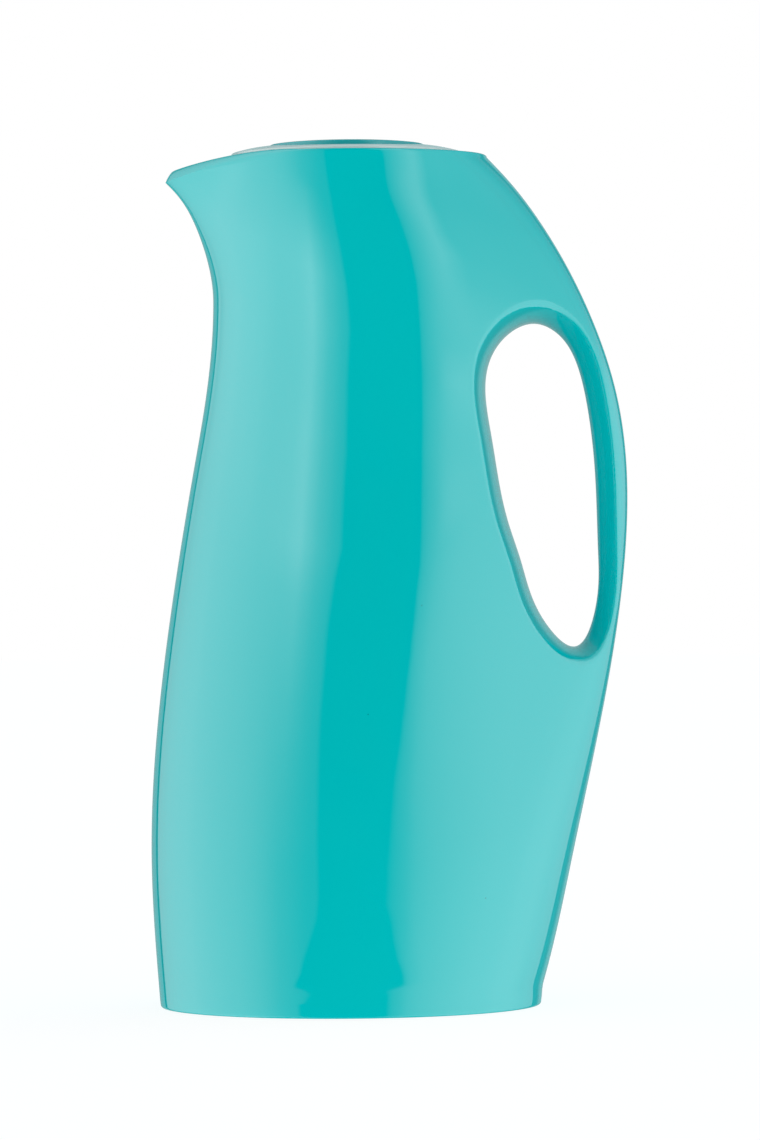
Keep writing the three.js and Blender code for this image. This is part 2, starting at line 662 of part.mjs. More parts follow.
// The barrel reaches up into the lid's groove. Its windows let the drink out above the collar.
function stopperBarrel() {
  const inner = BARREL_RADIUS - BARREL_WALL;
  const top = crownAt(BARREL_RADIUS) - LID_PLATE - GAP;
  const noseInner = NOSE_RADIUS - NOSE_WALL;
  const profile = [
    [noseInner, NOSE_END],
    [NOSE_RADIUS, NOSE_END],
    [NOSE_RADIUS, BARREL_BASE],
    [BARREL_RADIUS, BARREL_BASE],
    [BARREL_RADIUS, top],
    [inner, top],
    [inner, BARREL_FLOOR_TOP],
    [noseInner, BARREL_FLOOR_TOP],
    [noseInner, NOSE_END],
  ];
  let barrel = solidOf(lathe(profile));
  mouthThread(BARREL_RADIUS, BARREL_RADIUS + MOUTH_THREAD_HEIGHT, BARREL_THREAD_FOOT).forEach((ridge) => {
    barrel = barrel.add(solidOf(ridge));
  });
  for (let i = 0; i < WINDOW_COUNT; i++) {
    const cut = new THREE.BoxGeometry(4 * BARREL_WALL, WINDOW_WIDTH, WINDOW_HEIGHT);
    cut.translate(BARREL_RADIUS - BARREL_WALL, 0, COLLAR_TOP + WINDOW_SILL + WINDOW_HEIGHT / 2);
    cut.rotateZ((FULL_TURN * (i + 0.5)) / WINDOW_COUNT);
    barrel = barrel.subtract(solidOf(cut));
  }
  return geometryOf(barrel);
}

function stopperGasket() {
  const top = STOPPER_GASKET_BASE + STOPPER_GASKET_THICKNESS;
  return ring(STOPPER_GASKET_INNER, BARREL_RADIUS, STOPPER_GASKET_BASE, top);
}

const GUIDE_BASE = BARREL_FLOOR_TOP + GAP;
const GUIDE_TOP = GUIDE_BASE + GUIDE_PLATE;
const GUIDE_HUB_RADIUS = STEM_RADIUS + RUN + GUIDE_HUB_WALL;
const BUTTON_UNDER = LID_HEIGHT - BUTTON_PLATE - BUTTON_STEP;
const BOSS_END = BUTTON_UNDER - BOSS_LENGTH;

// The hub stops short of the button's boss by twice the button's travel.
function stemGuide() {
  const bore = STEM_RADIUS + RUN;
  const outer = BARREL_RADIUS - BARREL_WALL - GAP;
  const hubTop = BOSS_END - 2 * BUTTON_TRAVEL;
  const profile = [
    [bore, GUIDE_BASE],
    [outer, GUIDE_BASE],
    [outer, GUIDE_TOP],
    [GUIDE_HUB_RADIUS, GUIDE_TOP],
    [GUIDE_HUB_RADIUS, hubTop],
    [bore, hubTop],
    [bore, GUIDE_BASE],
  ];
  let guide = solidOf(lathe(profile));
  for (let i = 0; i < GUIDE_PORT_COUNT; i++) {
    const port = disc(GUIDE_PORT_RADIUS, GUIDE_BASE - SINK, GUIDE_TOP + SINK, AROUND_SMALL);
    port.translate(GUIDE_PORT_CIRCLE, 0, 0).rotateZ((FULL_TURN * i) / GUIDE_PORT_COUNT);
    guide = guide.subtract(solidOf(port));
  }
  return geometryOf(guide);
}

// Push button, with the boss that takes the stem

const STEM_TOP = BUTTON_UNDER - GAP;
const VALVE_SEAL_TOP = NOSE_END - GAP;
const VALVE_PLATE_TOP = VALVE_SEAL_TOP - VALVE_SEAL_THICKNESS - GAP;
const VALVE_PLATE_UNDER = VALVE_PLATE_TOP - VALVE_PLATE_THICKNESS;
const VALVE_NUT_TOP = VALVE_PLATE_UNDER - GAP;
const VALVE_NUT_UNDER = VALVE_NUT_TOP - VALVE_NUT_THICKNESS;

function pushButton() {
  const edge = crownAt(BUTTON_RADIUS) + BUTTON_STEP;
  const skirtInner = BUTTON_RADIUS - BUTTON_SKIRT;
  const skirtEnd = LID_HEIGHT - BUTTON_SKIRT_LENGTH;
  const bossBore = STEM_RADIUS + GAP;
  const crown = [0.97, 0.7, 0.4].map((share) => {
    const radius = share * BUTTON_RADIUS;
    return [radius, crownAt(radius) + BUTTON_STEP];
  });
  return lathe([
    [0, BUTTON_UNDER],
    [bossBore, BUTTON_UNDER],
    [bossBore, BOSS_END],
    [BOSS_RADIUS, BOSS_END],
    [BOSS_RADIUS, BUTTON_UNDER],
    [skirtInner, BUTTON_UNDER],
    [skirtInner, skirtEnd],
    [BUTTON_RADIUS, skirtEnd],
    [BUTTON_RADIUS, edge - EDGE],
    ...crown,
    [0, LID_HEIGHT],
  ]);
}

function valveStem() {
  return disc(STEM_RADIUS, VALVE_NUT_UNDER, STEM_TOP, AROUND_SMALL);
}

function valvePlate() {
  return ring(STEM_RADIUS + GAP, NOSE_RADIUS, VALVE_PLATE_UNDER, VALVE_PLATE_TOP);
}

function valveSeal() {
  return ring(VALVE_SEAL_INNER, NOSE_RADIUS, VALVE_PLATE_TOP + GAP, VALVE_SEAL_TOP);
}

function valveNut() {
  const hexagon = solidOf(disc(VALVE_NUT_RADIUS, VALVE_NUT_UNDER, VALVE_NUT_TOP, 6));
  const bore = solidOf(disc(STEM_RADIUS + GAP, VALVE_NUT_UNDER - SINK, VALVE_NUT_TOP + SINK, AROUND_SMALL));
  return geometryOf(hexagon.subtract(bore));
}

// Spring round the boss and the hub, from the guide's plate to the button's underside.
function returnSpring() {
  const wire = SPRING_WIRE / 2;
  const low = GUIDE_TOP + GAP + wire;
  const high = BUTTON_UNDER - GAP - wire;
  const stepsPerTurn = 10;
  const sides = 5;
  const steps = SPRING_TURNS * stepsPerTurn;
  const rings = [];
  for (let i = 0; i <= steps; i++) {
    const angle = (FULL_TURN * i) / stepsPerTurn;
    const height = lerp(low, high, i / steps);
    const section = Array.from({ length: sides }, (_, j) => {
      const turn = (FULL_TURN * j) / sides;
      const radius = SPRING_RADIUS - wire * Math.cos(turn);
      const z = height + wire * Math.sin(turn);
      return new THREE.Vector3(radius * Math.cos(angle), radius * Math.sin(angle), z);
    });
    rings.push(section);
  }
  const leastGap = (high - low) / SPRING_TURNS - SPRING_WIRE;
  console.log(`return_spring: least gap between turns ${leastGap.toFixed(2)} mm`);
  return loft(rings);
}

// Screwed base

const BASE_RADIUS = BASE_BORE - BASE_THREAD_HEIGHT - RUN;

function baseCap() {
  const wallInner = BASE_RADIUS - BASE_WALL;
  const top = BASE_UNDER + BASE_HEIGHT;
  const ribInner = CUSHION_RADIUS + GAP;
  const ribOuter = ribInner + CUSHION_RIB;
  const ribTop = BASE_FLOOR_TOP + CUSHION_RIB_HEIGHT;
  const profile = [
    [0, BASE_UNDER],
    [BASE_RADIUS, BASE_UNDER],
    [BASE_RADIUS, top],
    [wallInner, top],
    [wallInner, BASE_FLOOR_TOP],
    [ribOuter, BASE_FLOOR_TOP],
    [ribOuter, ribTop],
    [ribInner, ribTop],
    [ribInner, BASE_FLOOR_TOP],
    [0, BASE_FLOOR_TOP],
  ];
  const thread = threadRidge({
    wall: BASE_RADIUS,
    crest: BASE_BORE - RUN,
    width: BASE_THREAD_WIDTH,
    lead: BASE_THREAD_LEAD,
    sweep: BASE_THREAD_SWEEP,
    start: 0,
    foot: BASE_THREAD_RISE + BASE_THREAD_LEAD / 2,
  });
  const pocket = solidOf(disc(GRIP_POCKET_RADIUS, BASE_UNDER - SINK, BASE_UNDER + GRIP_POCKET_DEPTH));
  const bar = new THREE.BoxGeometry(2 * BASE_BORE, GRIP_BAR_WIDTH, 4 * GRIP_POCKET_DEPTH);
  bar.translate(0, 0, BASE_UNDER);
  const cap = solidOf(lathe(profile)).add(solidOf(thread));
  return geometryOf(cap.subtract(pocket.subtract(solidOf(bar))));
}

// Rubber cup whose top follows the flask's domed base.
function baseCushion() {
  const under = BASE_FLOOR_TOP + GAP;
  const domeAt = (radius) => {
    const share = Math.min(radius / FLASK_RADIUS, 1);
    return DOME_TOP - FLASK_BASE_DOME * Math.sqrt(1 - share * share) - GAP;
  };
  const top = [1, 0.8, 0.6, 0.4, 0.2, 0].map((share) => {
    const radius = lerp(CUSHION_BORE, CUSHION_RADIUS, share);
    return [radius, domeAt(radius)];
  });
  const profile = [[CUSHION_BORE, under], [CUSHION_RADIUS, under], ...top];
  profile.push(profile[0]);
  return lathe(profile);
}

// Finishes

function finish(color, roughness, metalness = 0) {
  return new THREE.MeshStandardMaterial({ color, roughness, metalness });
}
const tealGloss = finish(0x12b4b6, 0.12);
const paleGloss = finish(0xe4e9e8, 0.25);
const palePlastic = finish(0xdfe4e3, 0.45);
const greyPlastic = finish(0x8a9294, 0.5);
const silicone = finish(0xd5dad8, 0.6);
const rubber = finish(0x3b3f41, 0.8);
const silveredGlass = finish(0xd9dde0, 0.05, 0.9);
const clearGlass = finish(0xdfe8ea, 0.05);
const steel = finish(0xb9bec2, 0.3, 1);
const ceramicFelt = finish(0xcfc8ba, 0.9);

const jug = new THREE.Group();
jug.name = "insulated_jug";

function addPiece(name, geometry, material) {
  const mesh = new THREE.Mesh(geometry, material);
  mesh.name = name;
  jug.add(mesh);
}

addPiece("body_shell", bodyShell(), tealGloss);
addPiece("pour_collar", pourCollar(), palePlastic);
addPiece("neck_gasket", neckGasket(), silicone);
addPiece("liner_outer_glass", linerOuterGlass(), silveredGlass);
addPiece("liner_inner_glass", linerInnerGlass(), silveredGlass);
addPiece("liner_seal_tip", linerSealTip(), clearGlass);
for (let i = 0; i < SPACER_COUNT; i++) {
  addPiece(`liner_spacer_${i + 1}`, linerSpacer(i), ceramicFelt);
}
addPiece("lid_ring", lidRing(), paleGloss);
addPiece("stopper_barrel", stopperBarrel(), palePlastic);
addPiece("stem_guide", stemGuide(), palePlastic);
addPiece("stopper_gasket", stopperGasket(), silicone);
addPiece("push_button", pushButton(), tealGloss);
addPiece("valve_stem", valveStem(), steel);
addPiece("valve_plate", valvePlate(), palePlastic);
addPiece("valve_seal", valveSeal(), silicone);
addPiece("valve_nut", valveNut(), steel);
addPiece("return_spring", returnSpring(), steel);
addPiece("base_cap", baseCap(), greyPlastic);
addPiece("base_cushion", baseCushion(), rubber);

export default jug;
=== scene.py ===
# %% [markdown]
# # An insulated jug
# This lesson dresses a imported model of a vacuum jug: a glossy teal shell with a beak spout and a loop handle,
# a pale screw stopper with a teal button, and a silvered glass flask inside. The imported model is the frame:
# it fixes where each piece is and how it moves. Blender adds the fine surfaces, the finishes and the light.

# %% Load the frame
import math

import bpy
import numpy as np
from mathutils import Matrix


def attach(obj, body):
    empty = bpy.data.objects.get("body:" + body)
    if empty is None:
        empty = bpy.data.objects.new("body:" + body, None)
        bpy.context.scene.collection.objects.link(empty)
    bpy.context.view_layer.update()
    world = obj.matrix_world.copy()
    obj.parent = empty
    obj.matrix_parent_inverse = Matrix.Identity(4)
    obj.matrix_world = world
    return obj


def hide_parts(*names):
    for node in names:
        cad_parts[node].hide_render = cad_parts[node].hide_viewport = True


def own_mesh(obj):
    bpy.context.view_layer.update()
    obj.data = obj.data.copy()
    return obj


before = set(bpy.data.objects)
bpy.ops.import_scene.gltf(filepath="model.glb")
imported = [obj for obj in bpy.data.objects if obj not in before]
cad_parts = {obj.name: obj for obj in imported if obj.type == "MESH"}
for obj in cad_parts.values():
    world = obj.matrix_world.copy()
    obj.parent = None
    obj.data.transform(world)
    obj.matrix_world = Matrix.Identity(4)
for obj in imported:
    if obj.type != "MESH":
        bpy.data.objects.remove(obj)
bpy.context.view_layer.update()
MM = 0.001
print("frame:", sorted(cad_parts))

# %% [markdown]
# ## Camera
# The photograph was taken level, from two metres in front of the jug, with a long lens. The field is 380 mm
# tall at the jug's axis. The jug leans a hair to the left in the picture, so the camera rolls by half a
# degree.

# %% Camera
CAMERA_PLACE = (0.0099, -2.02, 0.1449)
FIELD_HEIGHT = 0.38
SENSOR = 36.0
CAMERA_ROLL = 0.0085
FAR_LIMIT = 20.0

bpy.ops.object.select_all(action="DESELECT")
bpy.ops.object.camera_add(location=CAMERA_PLACE, rotation=(math.pi / 2, CAMERA_ROLL, 0))
camera = bpy.context.object
camera.name = "camera"
camera.data.sensor_fit = "VERTICAL"
camera.data.sensor_height = SENSOR
camera.data.lens = SENSOR * -CAMERA_PLACE[1] / FIELD_HEIGHT
camera.data.clip_end = FAR_LIMIT
bpy.context.scene.camera = camera
bpy.context.scene.view_settings.view_transform = "Standard"
print("camera lens", round(camera.data.lens, 1), "mm")

# %% [markdown]
# ## Helpers for modelling
# The shell and other pieces that aren't round start as a flat grid that is rolled into a skin: one way runs
# round the piece, the other way follows its outline. This keeps the faces in neat rows, so that a glossy
# surface reflects cleanly.


# %% Grid helpers
MERGE_DISTANCE = 1e-6
SHARP_ANGLE = 30


def deselect_all():
    if bpy.context.mode != "OBJECT":
        bpy.ops.object.mode_set(mode="OBJECT")
    bpy.ops.object.select_all(action="DESELECT")


def pick(piece):
    """Makes a piece the only one that Blender's operators work on."""
    deselect_all()
    piece.select_set(True)
    bpy.context.view_layer.objects.active = piece


def call(piece, name):
    piece.name = name
    piece.data.name = name
    return piece


def tell(*pieces):
    for piece in pieces:
        print(piece.name, "faces", len(piece.data.polygons))


def rolled_grid(name, rings, closed_path=False):
    """A grid whose rows are rings of points in mm. The seams are merged, open ends are filled."""
    path = np.concatenate([rings, rings[:1]]) if closed_path else rings
    rolled = np.concatenate([path, path[:, :1]], axis=1)
    deselect_all()
    bpy.ops.mesh.primitive_grid_add(x_subdivisions=rings.shape[1], y_subdivisions=len(path) - 1, size=1)
    piece = call(bpy.context.object, name)
    piece.data.vertices.foreach_set("co", (rolled.reshape(-1, 3) * MM).ravel())
    bpy.ops.object.mode_set(mode="EDIT")
    bpy.ops.mesh.select_all(action="SELECT")
    bpy.ops.mesh.remove_doubles(threshold=MERGE_DISTANCE)
    if not closed_path:
        bpy.ops.mesh.select_all(action="DESELECT")
        bpy.ops.mesh.select_non_manifold(extend=False, use_wire=False, use_multi_face=False,
                                         use_non_contiguous=False, use_verts=False)
        bpy.ops.mesh.edge_face_add()
    bpy.ops.mesh.select_all(action="SELECT")
    bpy.ops.mesh.normals_make_consistent(inside=False)
    bpy.ops.object.mode_set(mode="OBJECT")
    return piece


def smooth(piece, sharp_angle=SHARP_ANGLE):
    """Shades a piece smooth, with sharp edges where faces meet at more than the angle."""
    pick(piece)
    bpy.ops.object.shade_smooth_by_angle(angle=math.radians(sharp_angle))


def stand_for(piece, node, body):
    """Lets a piece move with its body and stand for a CAD node."""
    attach(piece, body)
    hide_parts(node)


# %% Modifier helpers
def apply_modifiers(piece):
    pick(piece)
    for modifier in list(piece.modifiers):
        bpy.ops.object.modifier_apply(modifier=modifier.name)


def bevel_edges(piece, width, segments=3):
    """Rounds the sharp edges of a piece."""
    bevel = piece.modifiers.new("broken edges", "BEVEL")
    bevel.width = width * MM
    bevel.segments = segments
    bevel.limit_method = "ANGLE"
    bevel.angle_limit = math.radians(SHARP_ANGLE)
    apply_modifiers(piece)


def combine(piece, other, operation):
    """Joins another piece to a piece or cuts it out, and removes the other one."""
    change = piece.modifiers.new(operation.lower(), "BOOLEAN")
    change.operation = operation
    change.solver = "EXACT"
    change.object = other
    apply_modifiers(piece)
    bpy.data.objects.remove(other, do_unlink=True)

# %% [markdown]
# ## Outer form
# The shell's section changes from a round foot to a drop that ends in the handle, and back to a round rim
# with a beak. At each level the section is the smooth hull of three ovals: the vessel, the rounded end of
# the handle and the beak. A few lines, floor to rim, say how the ovals grow and shrink. Each line is a
# natural spline, because a gloss shows every jump in curvature.


# %% Splines
def natural_spline(knots, values):
    """A curve through the points whose curvature runs on smoothly and fades out at both ends."""
    knots = np.asarray(knots, float)
    values = np.asarray(values, float)
    span = np.diff(knots)
    count = len(knots)
    system = np.eye(count)
    right = np.zeros(count)
    for i in range(1, count - 1):
        system[i, i - 1:i + 2] = span[i - 1], 2 * (span[i - 1] + span[i]), span[i]
        right[i] = 6 * ((values[i + 1] - values[i]) / span[i] - (values[i] - values[i - 1]) / span[i - 1])
    bend = np.linalg.solve(system, right)

    def value_at(where):
        where = np.clip(where, knots[0], knots[-1])
        i = np.clip(np.searchsorted(knots, where) - 1, 0, count - 2)
        after = (where - knots[i]) / span[i]
        before = 1 - after
        cubic = (before**3 - before) * bend[i] + (after**3 - after) * bend[i + 1]
        return before * values[i] + after * values[i + 1] + span[i] ** 2 / 6 * cubic

    return value_at


# %% Lines of the shell, in mm
RIM_HEIGHT = 282.7
RIM_RADIUS = 44.0
RIM_BACK = 45.9
STRAP_HALF_WIDTH = 13.5
EDGE = 0.8
SPOUT_REACH = 60.5
SPOUT_HEIGHT = 40.0
SPOUT_DROP = 7.4
SPOUT_DROP_START = 15.0
SPOUT_DROP_BEND = 1.8
SPOUT_TIP_HALF_WIDTH = 7.0
SPOUT_ROOT_HALF_WIDTH = 24.0
SPOUT_ROOT_DEPTH = 16.0
LIP_RISE = 3.8
LIP_SETBACK = 2.7
WALL = 2.6
HULL_POWER = 24

# Columns: height, front, half depth, centre of the vessel, back, half width and depth of the handle's end
LINES = np.array([
    [0, 64.4, 63.4, -1, 62.4, 50, 40],
    [5, 64.75, 63.8, -1, 62.7, 50, 40],
    [9, 65.05, 64.15, -1, 63.7, 50, 40],
    [50, 67, 66.6, 0.6, 73.4, 52, 45],
    [100, 64, 63, 3.5, 84.2, 30, 25],
    [150, 56.9, 55, 8, 91.7, 15.5, 10],
    [178, 52, 50.3, 10, 92.4, STRAP_HALF_WIDTH, 8],
    [203, 47.6, 48, 11, 89.2, STRAP_HALF_WIDTH, 8],
    [230, 45, 46.8, 10, 80.4, 14, 8],
    [RIM_HEIGHT - 22, 44.9, 45.2, 5.5, 64, 17, 9],
    [RIM_HEIGHT - 8, 44.2, 44.3, 1.5, 53.4, 23, 14],
    [RIM_HEIGHT, RIM_RADIUS, RIM_RADIUS, 0, RIM_BACK, 30, 20],
])
front_at, half_at, centre_at, back_at, end_half_at, end_depth_at = (
    natural_spline(LINES[:, 0], LINES[:, i]) for i in range(1, 7)
)
CREASE_HEIGHT = RIM_HEIGHT - EDGE
TIP_HEIGHT = CREASE_HEIGHT - SPOUT_DROP
DROP_BASE = TIP_HEIGHT - SPOUT_HEIGHT
print("front at mid height", round(float(front_at(RIM_HEIGHT / 2)), 2), "mm")


# %% Section of the shell
def smoothstep(value, low, high):
    share = np.clip((value - low) / (high - low), 0, 1)
    return share * share * (3 - 2 * share)


def drop_share(level):
    return smoothstep(level, DROP_BASE, CREASE_HEIGHT)


def towards_tip(x):
    return np.clip((-x - SPOUT_DROP_START) / (SPOUT_REACH - SPOUT_DROP_START), 0, 1)


def oval_reach(centre, along, across, angle):
    return centre * np.cos(angle) + np.hypot(along * np.cos(angle), across * np.sin(angle))


def top_up(wanted, smaller):
    return max(wanted**HULL_POWER - smaller**HULL_POWER, 1) ** (1 / HULL_POWER)


def hull_reach(level, angle):
    """How far the shell reaches at a level in the direction of each angle."""
    centre, half, front = centre_at(level), half_at(level), front_at(level)
    vessel = oval_reach(centre, np.where(np.cos(angle) < 0, front + centre, half), half, angle)

    back = top_up(back_at(level), centre + half)
    depth = min(end_depth_at(level), back)
    handle = oval_reach(back - depth, depth, end_half_at(level), angle)

    below = np.clip((TIP_HEIGHT - level + SPOUT_DROP * drop_share(level)) / SPOUT_HEIGHT, 0, 1)
    reach = top_up(front + (SPOUT_REACH - RIM_RADIUS) * (1 - below) ** 2, front)
    beak_depth = min(SPOUT_TIP_HALF_WIDTH + (SPOUT_ROOT_DEPTH - SPOUT_TIP_HALF_WIDTH) * below, reach)
    beak_half = SPOUT_TIP_HALF_WIDTH + (SPOUT_ROOT_HALF_WIDTH - SPOUT_TIP_HALF_WIDTH) * below
    beak = oval_reach(beak_depth - reach, beak_depth, beak_half, angle)

    sides = np.maximum(np.stack([vessel, handle, beak]), 0)
    return (sides**HULL_POWER).sum(axis=0) ** (1 / HULL_POWER)


def section(level, angle, inset=0.0):
    """Points of the skin at a level, moved inwards by inset, before the dip towards the spout."""
    step = 1e-4
    reach = hull_reach(level, angle)
    slope = (hull_reach(level, angle + step) - hull_reach(level, angle - step)) / (2 * step)
    x = (reach - inset) * np.cos(angle) - slope * np.sin(angle)
    y = (reach - inset) * np.sin(angle) + slope * np.cos(angle)
    return x, y


# %% Rings of the shell
HALF_COLUMNS = 128
DENSE_COUNT = 1441
DENSE_ANGLES = np.linspace(0, np.pi, DENSE_COUNT)
TURN_WEIGHT = 30.0


def ring_angles(level):
    """Directions round a ring, spaced by a mix of length and turn, so that flats and corners get enough."""
    x, y = section(level, DENSE_ANGLES)
    length = np.hypot(np.diff(x), np.diff(y)) + TURN_WEIGHT * np.diff(DENSE_ANGLES)
    run = np.concatenate([[0], np.cumsum(length)])
    half = np.interp(np.linspace(0, run[-1], HALF_COLUMNS + 1), run, DENSE_ANGLES)
    return np.concatenate([half, 2 * np.pi - half[-2:0:-1]])


def skin_ring(level, inset=0.0, rise=0.0, share_inset=0.0, share_rise=0.0):
    """A ring of the skin. The share parts count fully at the spout's tip and not at all behind it."""
    angle = ring_angles(level)
    outer_x, _ = section(level, angle)
    share = towards_tip(outer_x)
    x, y = section(level, angle, inset + share_inset * share)
    dip = SPOUT_DROP * drop_share(level) * share**SPOUT_DROP_BEND
    return np.stack([x, y, level - dip + rise + share_rise * share], axis=1)


def round_ring(radius, height):
    angle = ring_angles(height)
    return np.stack([radius * np.cos(angle), radius * np.sin(angle), np.full(angle.shape, height)], axis=1)


# %% [markdown]
# ## Shell
# The shell is one closed skin. It starts at the foot, climbs the outside, turns over the rim, goes down the
# mouth to the seat for the collar, widens to the room for the flask and ends in the bore for the screwed
# base. The foot and the rim have small round edges, and the spout has a bevel that fades away towards the
# sides.

# %% Shell skin
SEAT_TOP = 239.0
SEAT_UNDER = 236.0
SEAT_BORE = 27.0
BASE_BORE = 58.0
BASE_BORE_DEPTH = 15.0
FOOT_ROUND = 1.0
OUTER_START = 3.0
OUTER_STEP = 2.0
CROWN_RINGS = 40
LIP_BULGE = 0.8
LIP_EASE = 0.2
RIM_INNER_ROUND = 0.5
MOUTH_START = CREASE_HEIGHT - 2
MOUTH_RINGS = 24
SHELL_SHARP_ANGLE = 35
# Radius and height of the inside, from the seat down to the foot
INSIDE = [
    (SEAT_BORE, SEAT_TOP), (SEAT_BORE, SEAT_UNDER), (40, SEAT_UNDER), (42, 200), (48, 150), (55, 110),
    (57, 40), (57, BASE_BORE_DEPTH), (BASE_BORE, BASE_BORE_DEPTH), (BASE_BORE, 0),
]


def quarter(steps):
    return np.linspace(0, np.pi / 2, steps + 1)


shell_rings = [
    skin_ring(0.0, FOOT_ROUND * (1 - np.sin(turn)), FOOT_ROUND * (1 - np.cos(turn))) for turn in quarter(5)
]
climb = np.arange(OUTER_START, DROP_BASE, OUTER_STEP)
crown = np.linspace(DROP_BASE, CREASE_HEIGHT, CROWN_RINGS)
shell_rings += [skin_ring(level) for level in np.concatenate([climb, crown])]
for turn in quarter(6)[1:]:
    inward, upward = 1 - np.cos(turn), np.sin(turn)
    shell_rings.append(skin_ring(
        CREASE_HEIGHT, EDGE * inward, EDGE * upward,
        (LIP_SETBACK - EDGE) * (LIP_BULGE * upward + LIP_EASE * inward), (LIP_RISE - EDGE) * upward,
    ))
for turn in quarter(3):
    inward, downward = RIM_INNER_ROUND * (1 - np.sin(turn)), RIM_INNER_ROUND * (1 - np.cos(turn))
    shell_rings.append(skin_ring(
        CREASE_HEIGHT, WALL - inward, EDGE - downward, LIP_SETBACK - EDGE, LIP_RISE - EDGE,
    ))
shell_rings += [skin_ring(level, WALL) for level in np.linspace(MOUTH_START, SEAT_TOP, MOUTH_RINGS)]
shell_rings[-1][:, 2] = SEAT_TOP
shell_rings += [round_ring(radius, height) for radius, height in INSIDE]
shell = rolled_grid("shell", np.array(shell_rings), closed_path=True)
tell(shell)

# %% [markdown]
# ## Hand hole
# The hole runs right through the handle. It is narrowest in the middle plane, its wall curves out towards
# both faces like a bell, and a small round runs along its edge. A cutter with that bell and that round is
# made first, and a Boolean modifier takes it out of the shell. The round lies in the cutter, so no bevel
# has to work on the fine mesh.


# %% Hole outline
WRAP = 4
FINE_POINTS = 2001


def run_along(line):
    return np.concatenate([[0], np.cumsum(np.linalg.norm(np.diff(line, axis=0), axis=1))])


def closed_spline(points, count):
    """Evenly spaced points on a smooth closed curve through the given ones."""
    points = np.asarray(points, float)
    around = np.concatenate([points[-WRAP:], points, points[:WRAP + 1]])
    chord = run_along(around)
    fine = np.linspace(chord[WRAP], chord[WRAP + len(points)], FINE_POINTS)
    line = np.stack([natural_spline(chord, around[:, i])(fine) for i in range(2)], axis=1)
    run = run_along(line)
    even = np.linspace(0, run[-1], count, endpoint=False)
    return np.stack([np.interp(even, run, line[:, i]) for i in range(2)], axis=1)


HOLE_TOP = 226.6
HOLE_BOTTOM = 118.9
HOLE_POINTS = [
    [62.2, HOLE_TOP], [69.9, 223.0], [76.6, 211.4], [79.1, 200.7], [81.8, 176.8], [82.6, 150.9],
    [81.4, 130.9], [74.9, HOLE_BOTTOM], [64.2, 127.9], [56.7, 147.9], [52.6, 160.8],
    [47.4, 188.8], [46.6, 212.8], [53.0, 222.8],
]
HOLE_COLUMNS = 240
hole_line = closed_spline(HOLE_POINTS, HOLE_COLUMNS)
along = np.roll(hole_line, -1, axis=0) - np.roll(hole_line, 1, axis=0)
along /= np.linalg.norm(along, axis=1, keepdims=True)
hole_out = np.stack([-along[:, 1], along[:, 0]], axis=1)
print("hole", np.round(hole_line.min(axis=0), 1), np.round(hole_line.max(axis=0), 1))

# %% Hole cutter
HOLE_SPREAD = 4.4
HOLE_SPREAD_BACK = 1.8
HOLE_SPREAD_TOP = 0.8
HOLE_ROUND = 2.8
HOLE_ROUND_BACK = 0.9
HOLE_BELL = 2.6
HOLE_BELL_BACK = 2.0
WALL_STEPS = 14
ROUND_STEPS = 9
ROUND_SHARE = 0.92
PROBE = 1.5
RUN_OUT = 2.5
CUTTER_DEPTH = 90.0


def unit(vector):
    return vector / np.linalg.norm(vector)


def skin_depth(x, z):
    """Half depth of the shell at a place in side view."""
    xs, ys = section(z, DENSE_ANGLES)
    return float(np.interp(x, xs[::-1], ys[::-1], left=0, right=0))


def hole_profile(point, out):
    """The cutter's outline at one point of the hole: distance out of the hole's line, and depth."""
    back = max(out[0], 0)
    spread = HOLE_SPREAD + HOLE_SPREAD_BACK * back + HOLE_SPREAD_TOP * max(out[1], 0)
    place = point + out * spread
    depth = skin_depth(*place)
    slope = (skin_depth(*(place + out * PROBE)) - depth) / PROBE
    corner = np.array([spread, depth])
    bell = HOLE_BELL + (HOLE_BELL_BACK - HOLE_BELL) * back
    down = unit(np.array([-bell * spread / depth, -1.0]))
    away = np.array([1.0, slope]) / math.hypot(1, slope)
    half_corner = math.acos(np.clip(down @ away, -1, 1)) / 2
    rounding = HOLE_ROUND + (HOLE_ROUND_BACK - HOLE_ROUND) * back
    centre = corner + unit(down + away) * rounding / math.sin(half_corner)
    reach = rounding / math.tan(half_corner)
    first = corner + down * reach - centre
    last = corner + away * reach - centre
    sweep = math.atan2(first[0] * last[1] - first[1] * last[0], first @ last)
    wall_end = (corner + down * reach)[1]
    wall_depths = np.sin(np.linspace(0, np.pi / 2, WALL_STEPS))[:-1] * wall_end
    join = centre[0] + first[0]
    profile = [[join * (wall_depth / wall_end) ** bell, wall_depth] for wall_depth in wall_depths]
    for turn in sweep * np.linspace(0, ROUND_SHARE, ROUND_STEPS):
        turned = np.array([
            first[0] * math.cos(turn) - first[1] * math.sin(turn),
            first[0] * math.sin(turn) + first[1] * math.cos(turn),
        ])
        profile.append(centre + turned)
    heading = unit(np.array([-turned[1], turned[0]]) * math.copysign(1, sweep))
    profile.append(profile[-1] + heading * RUN_OUT)
    profile.append(np.array([profile[-1][0], CUTTER_DEPTH]))
    return np.array(profile)


hole_sections = np.array([hole_profile(point, out) for point, out in zip(hole_line, hole_out)])
near_rings = []
for i in range(hole_sections.shape[1]):
    place = hole_line + hole_out * hole_sections[:, i, :1]
    near_rings.append(np.stack([place[:, 0], -hole_sections[:, i, 1], place[:, 1]], axis=1))
far_rings = [ring * [1, -1, 1] for ring in near_rings[1:]]
cutter = rolled_grid("hole_cutter", np.array(near_rings[::-1] + far_rings))
tell(cutter)

# %% Cut the hole
combine(shell, cutter, "DIFFERENCE")
smooth(shell, SHELL_SHARP_ANGLE)
stand_for(shell, "body_shell", "jug")
tell(shell)

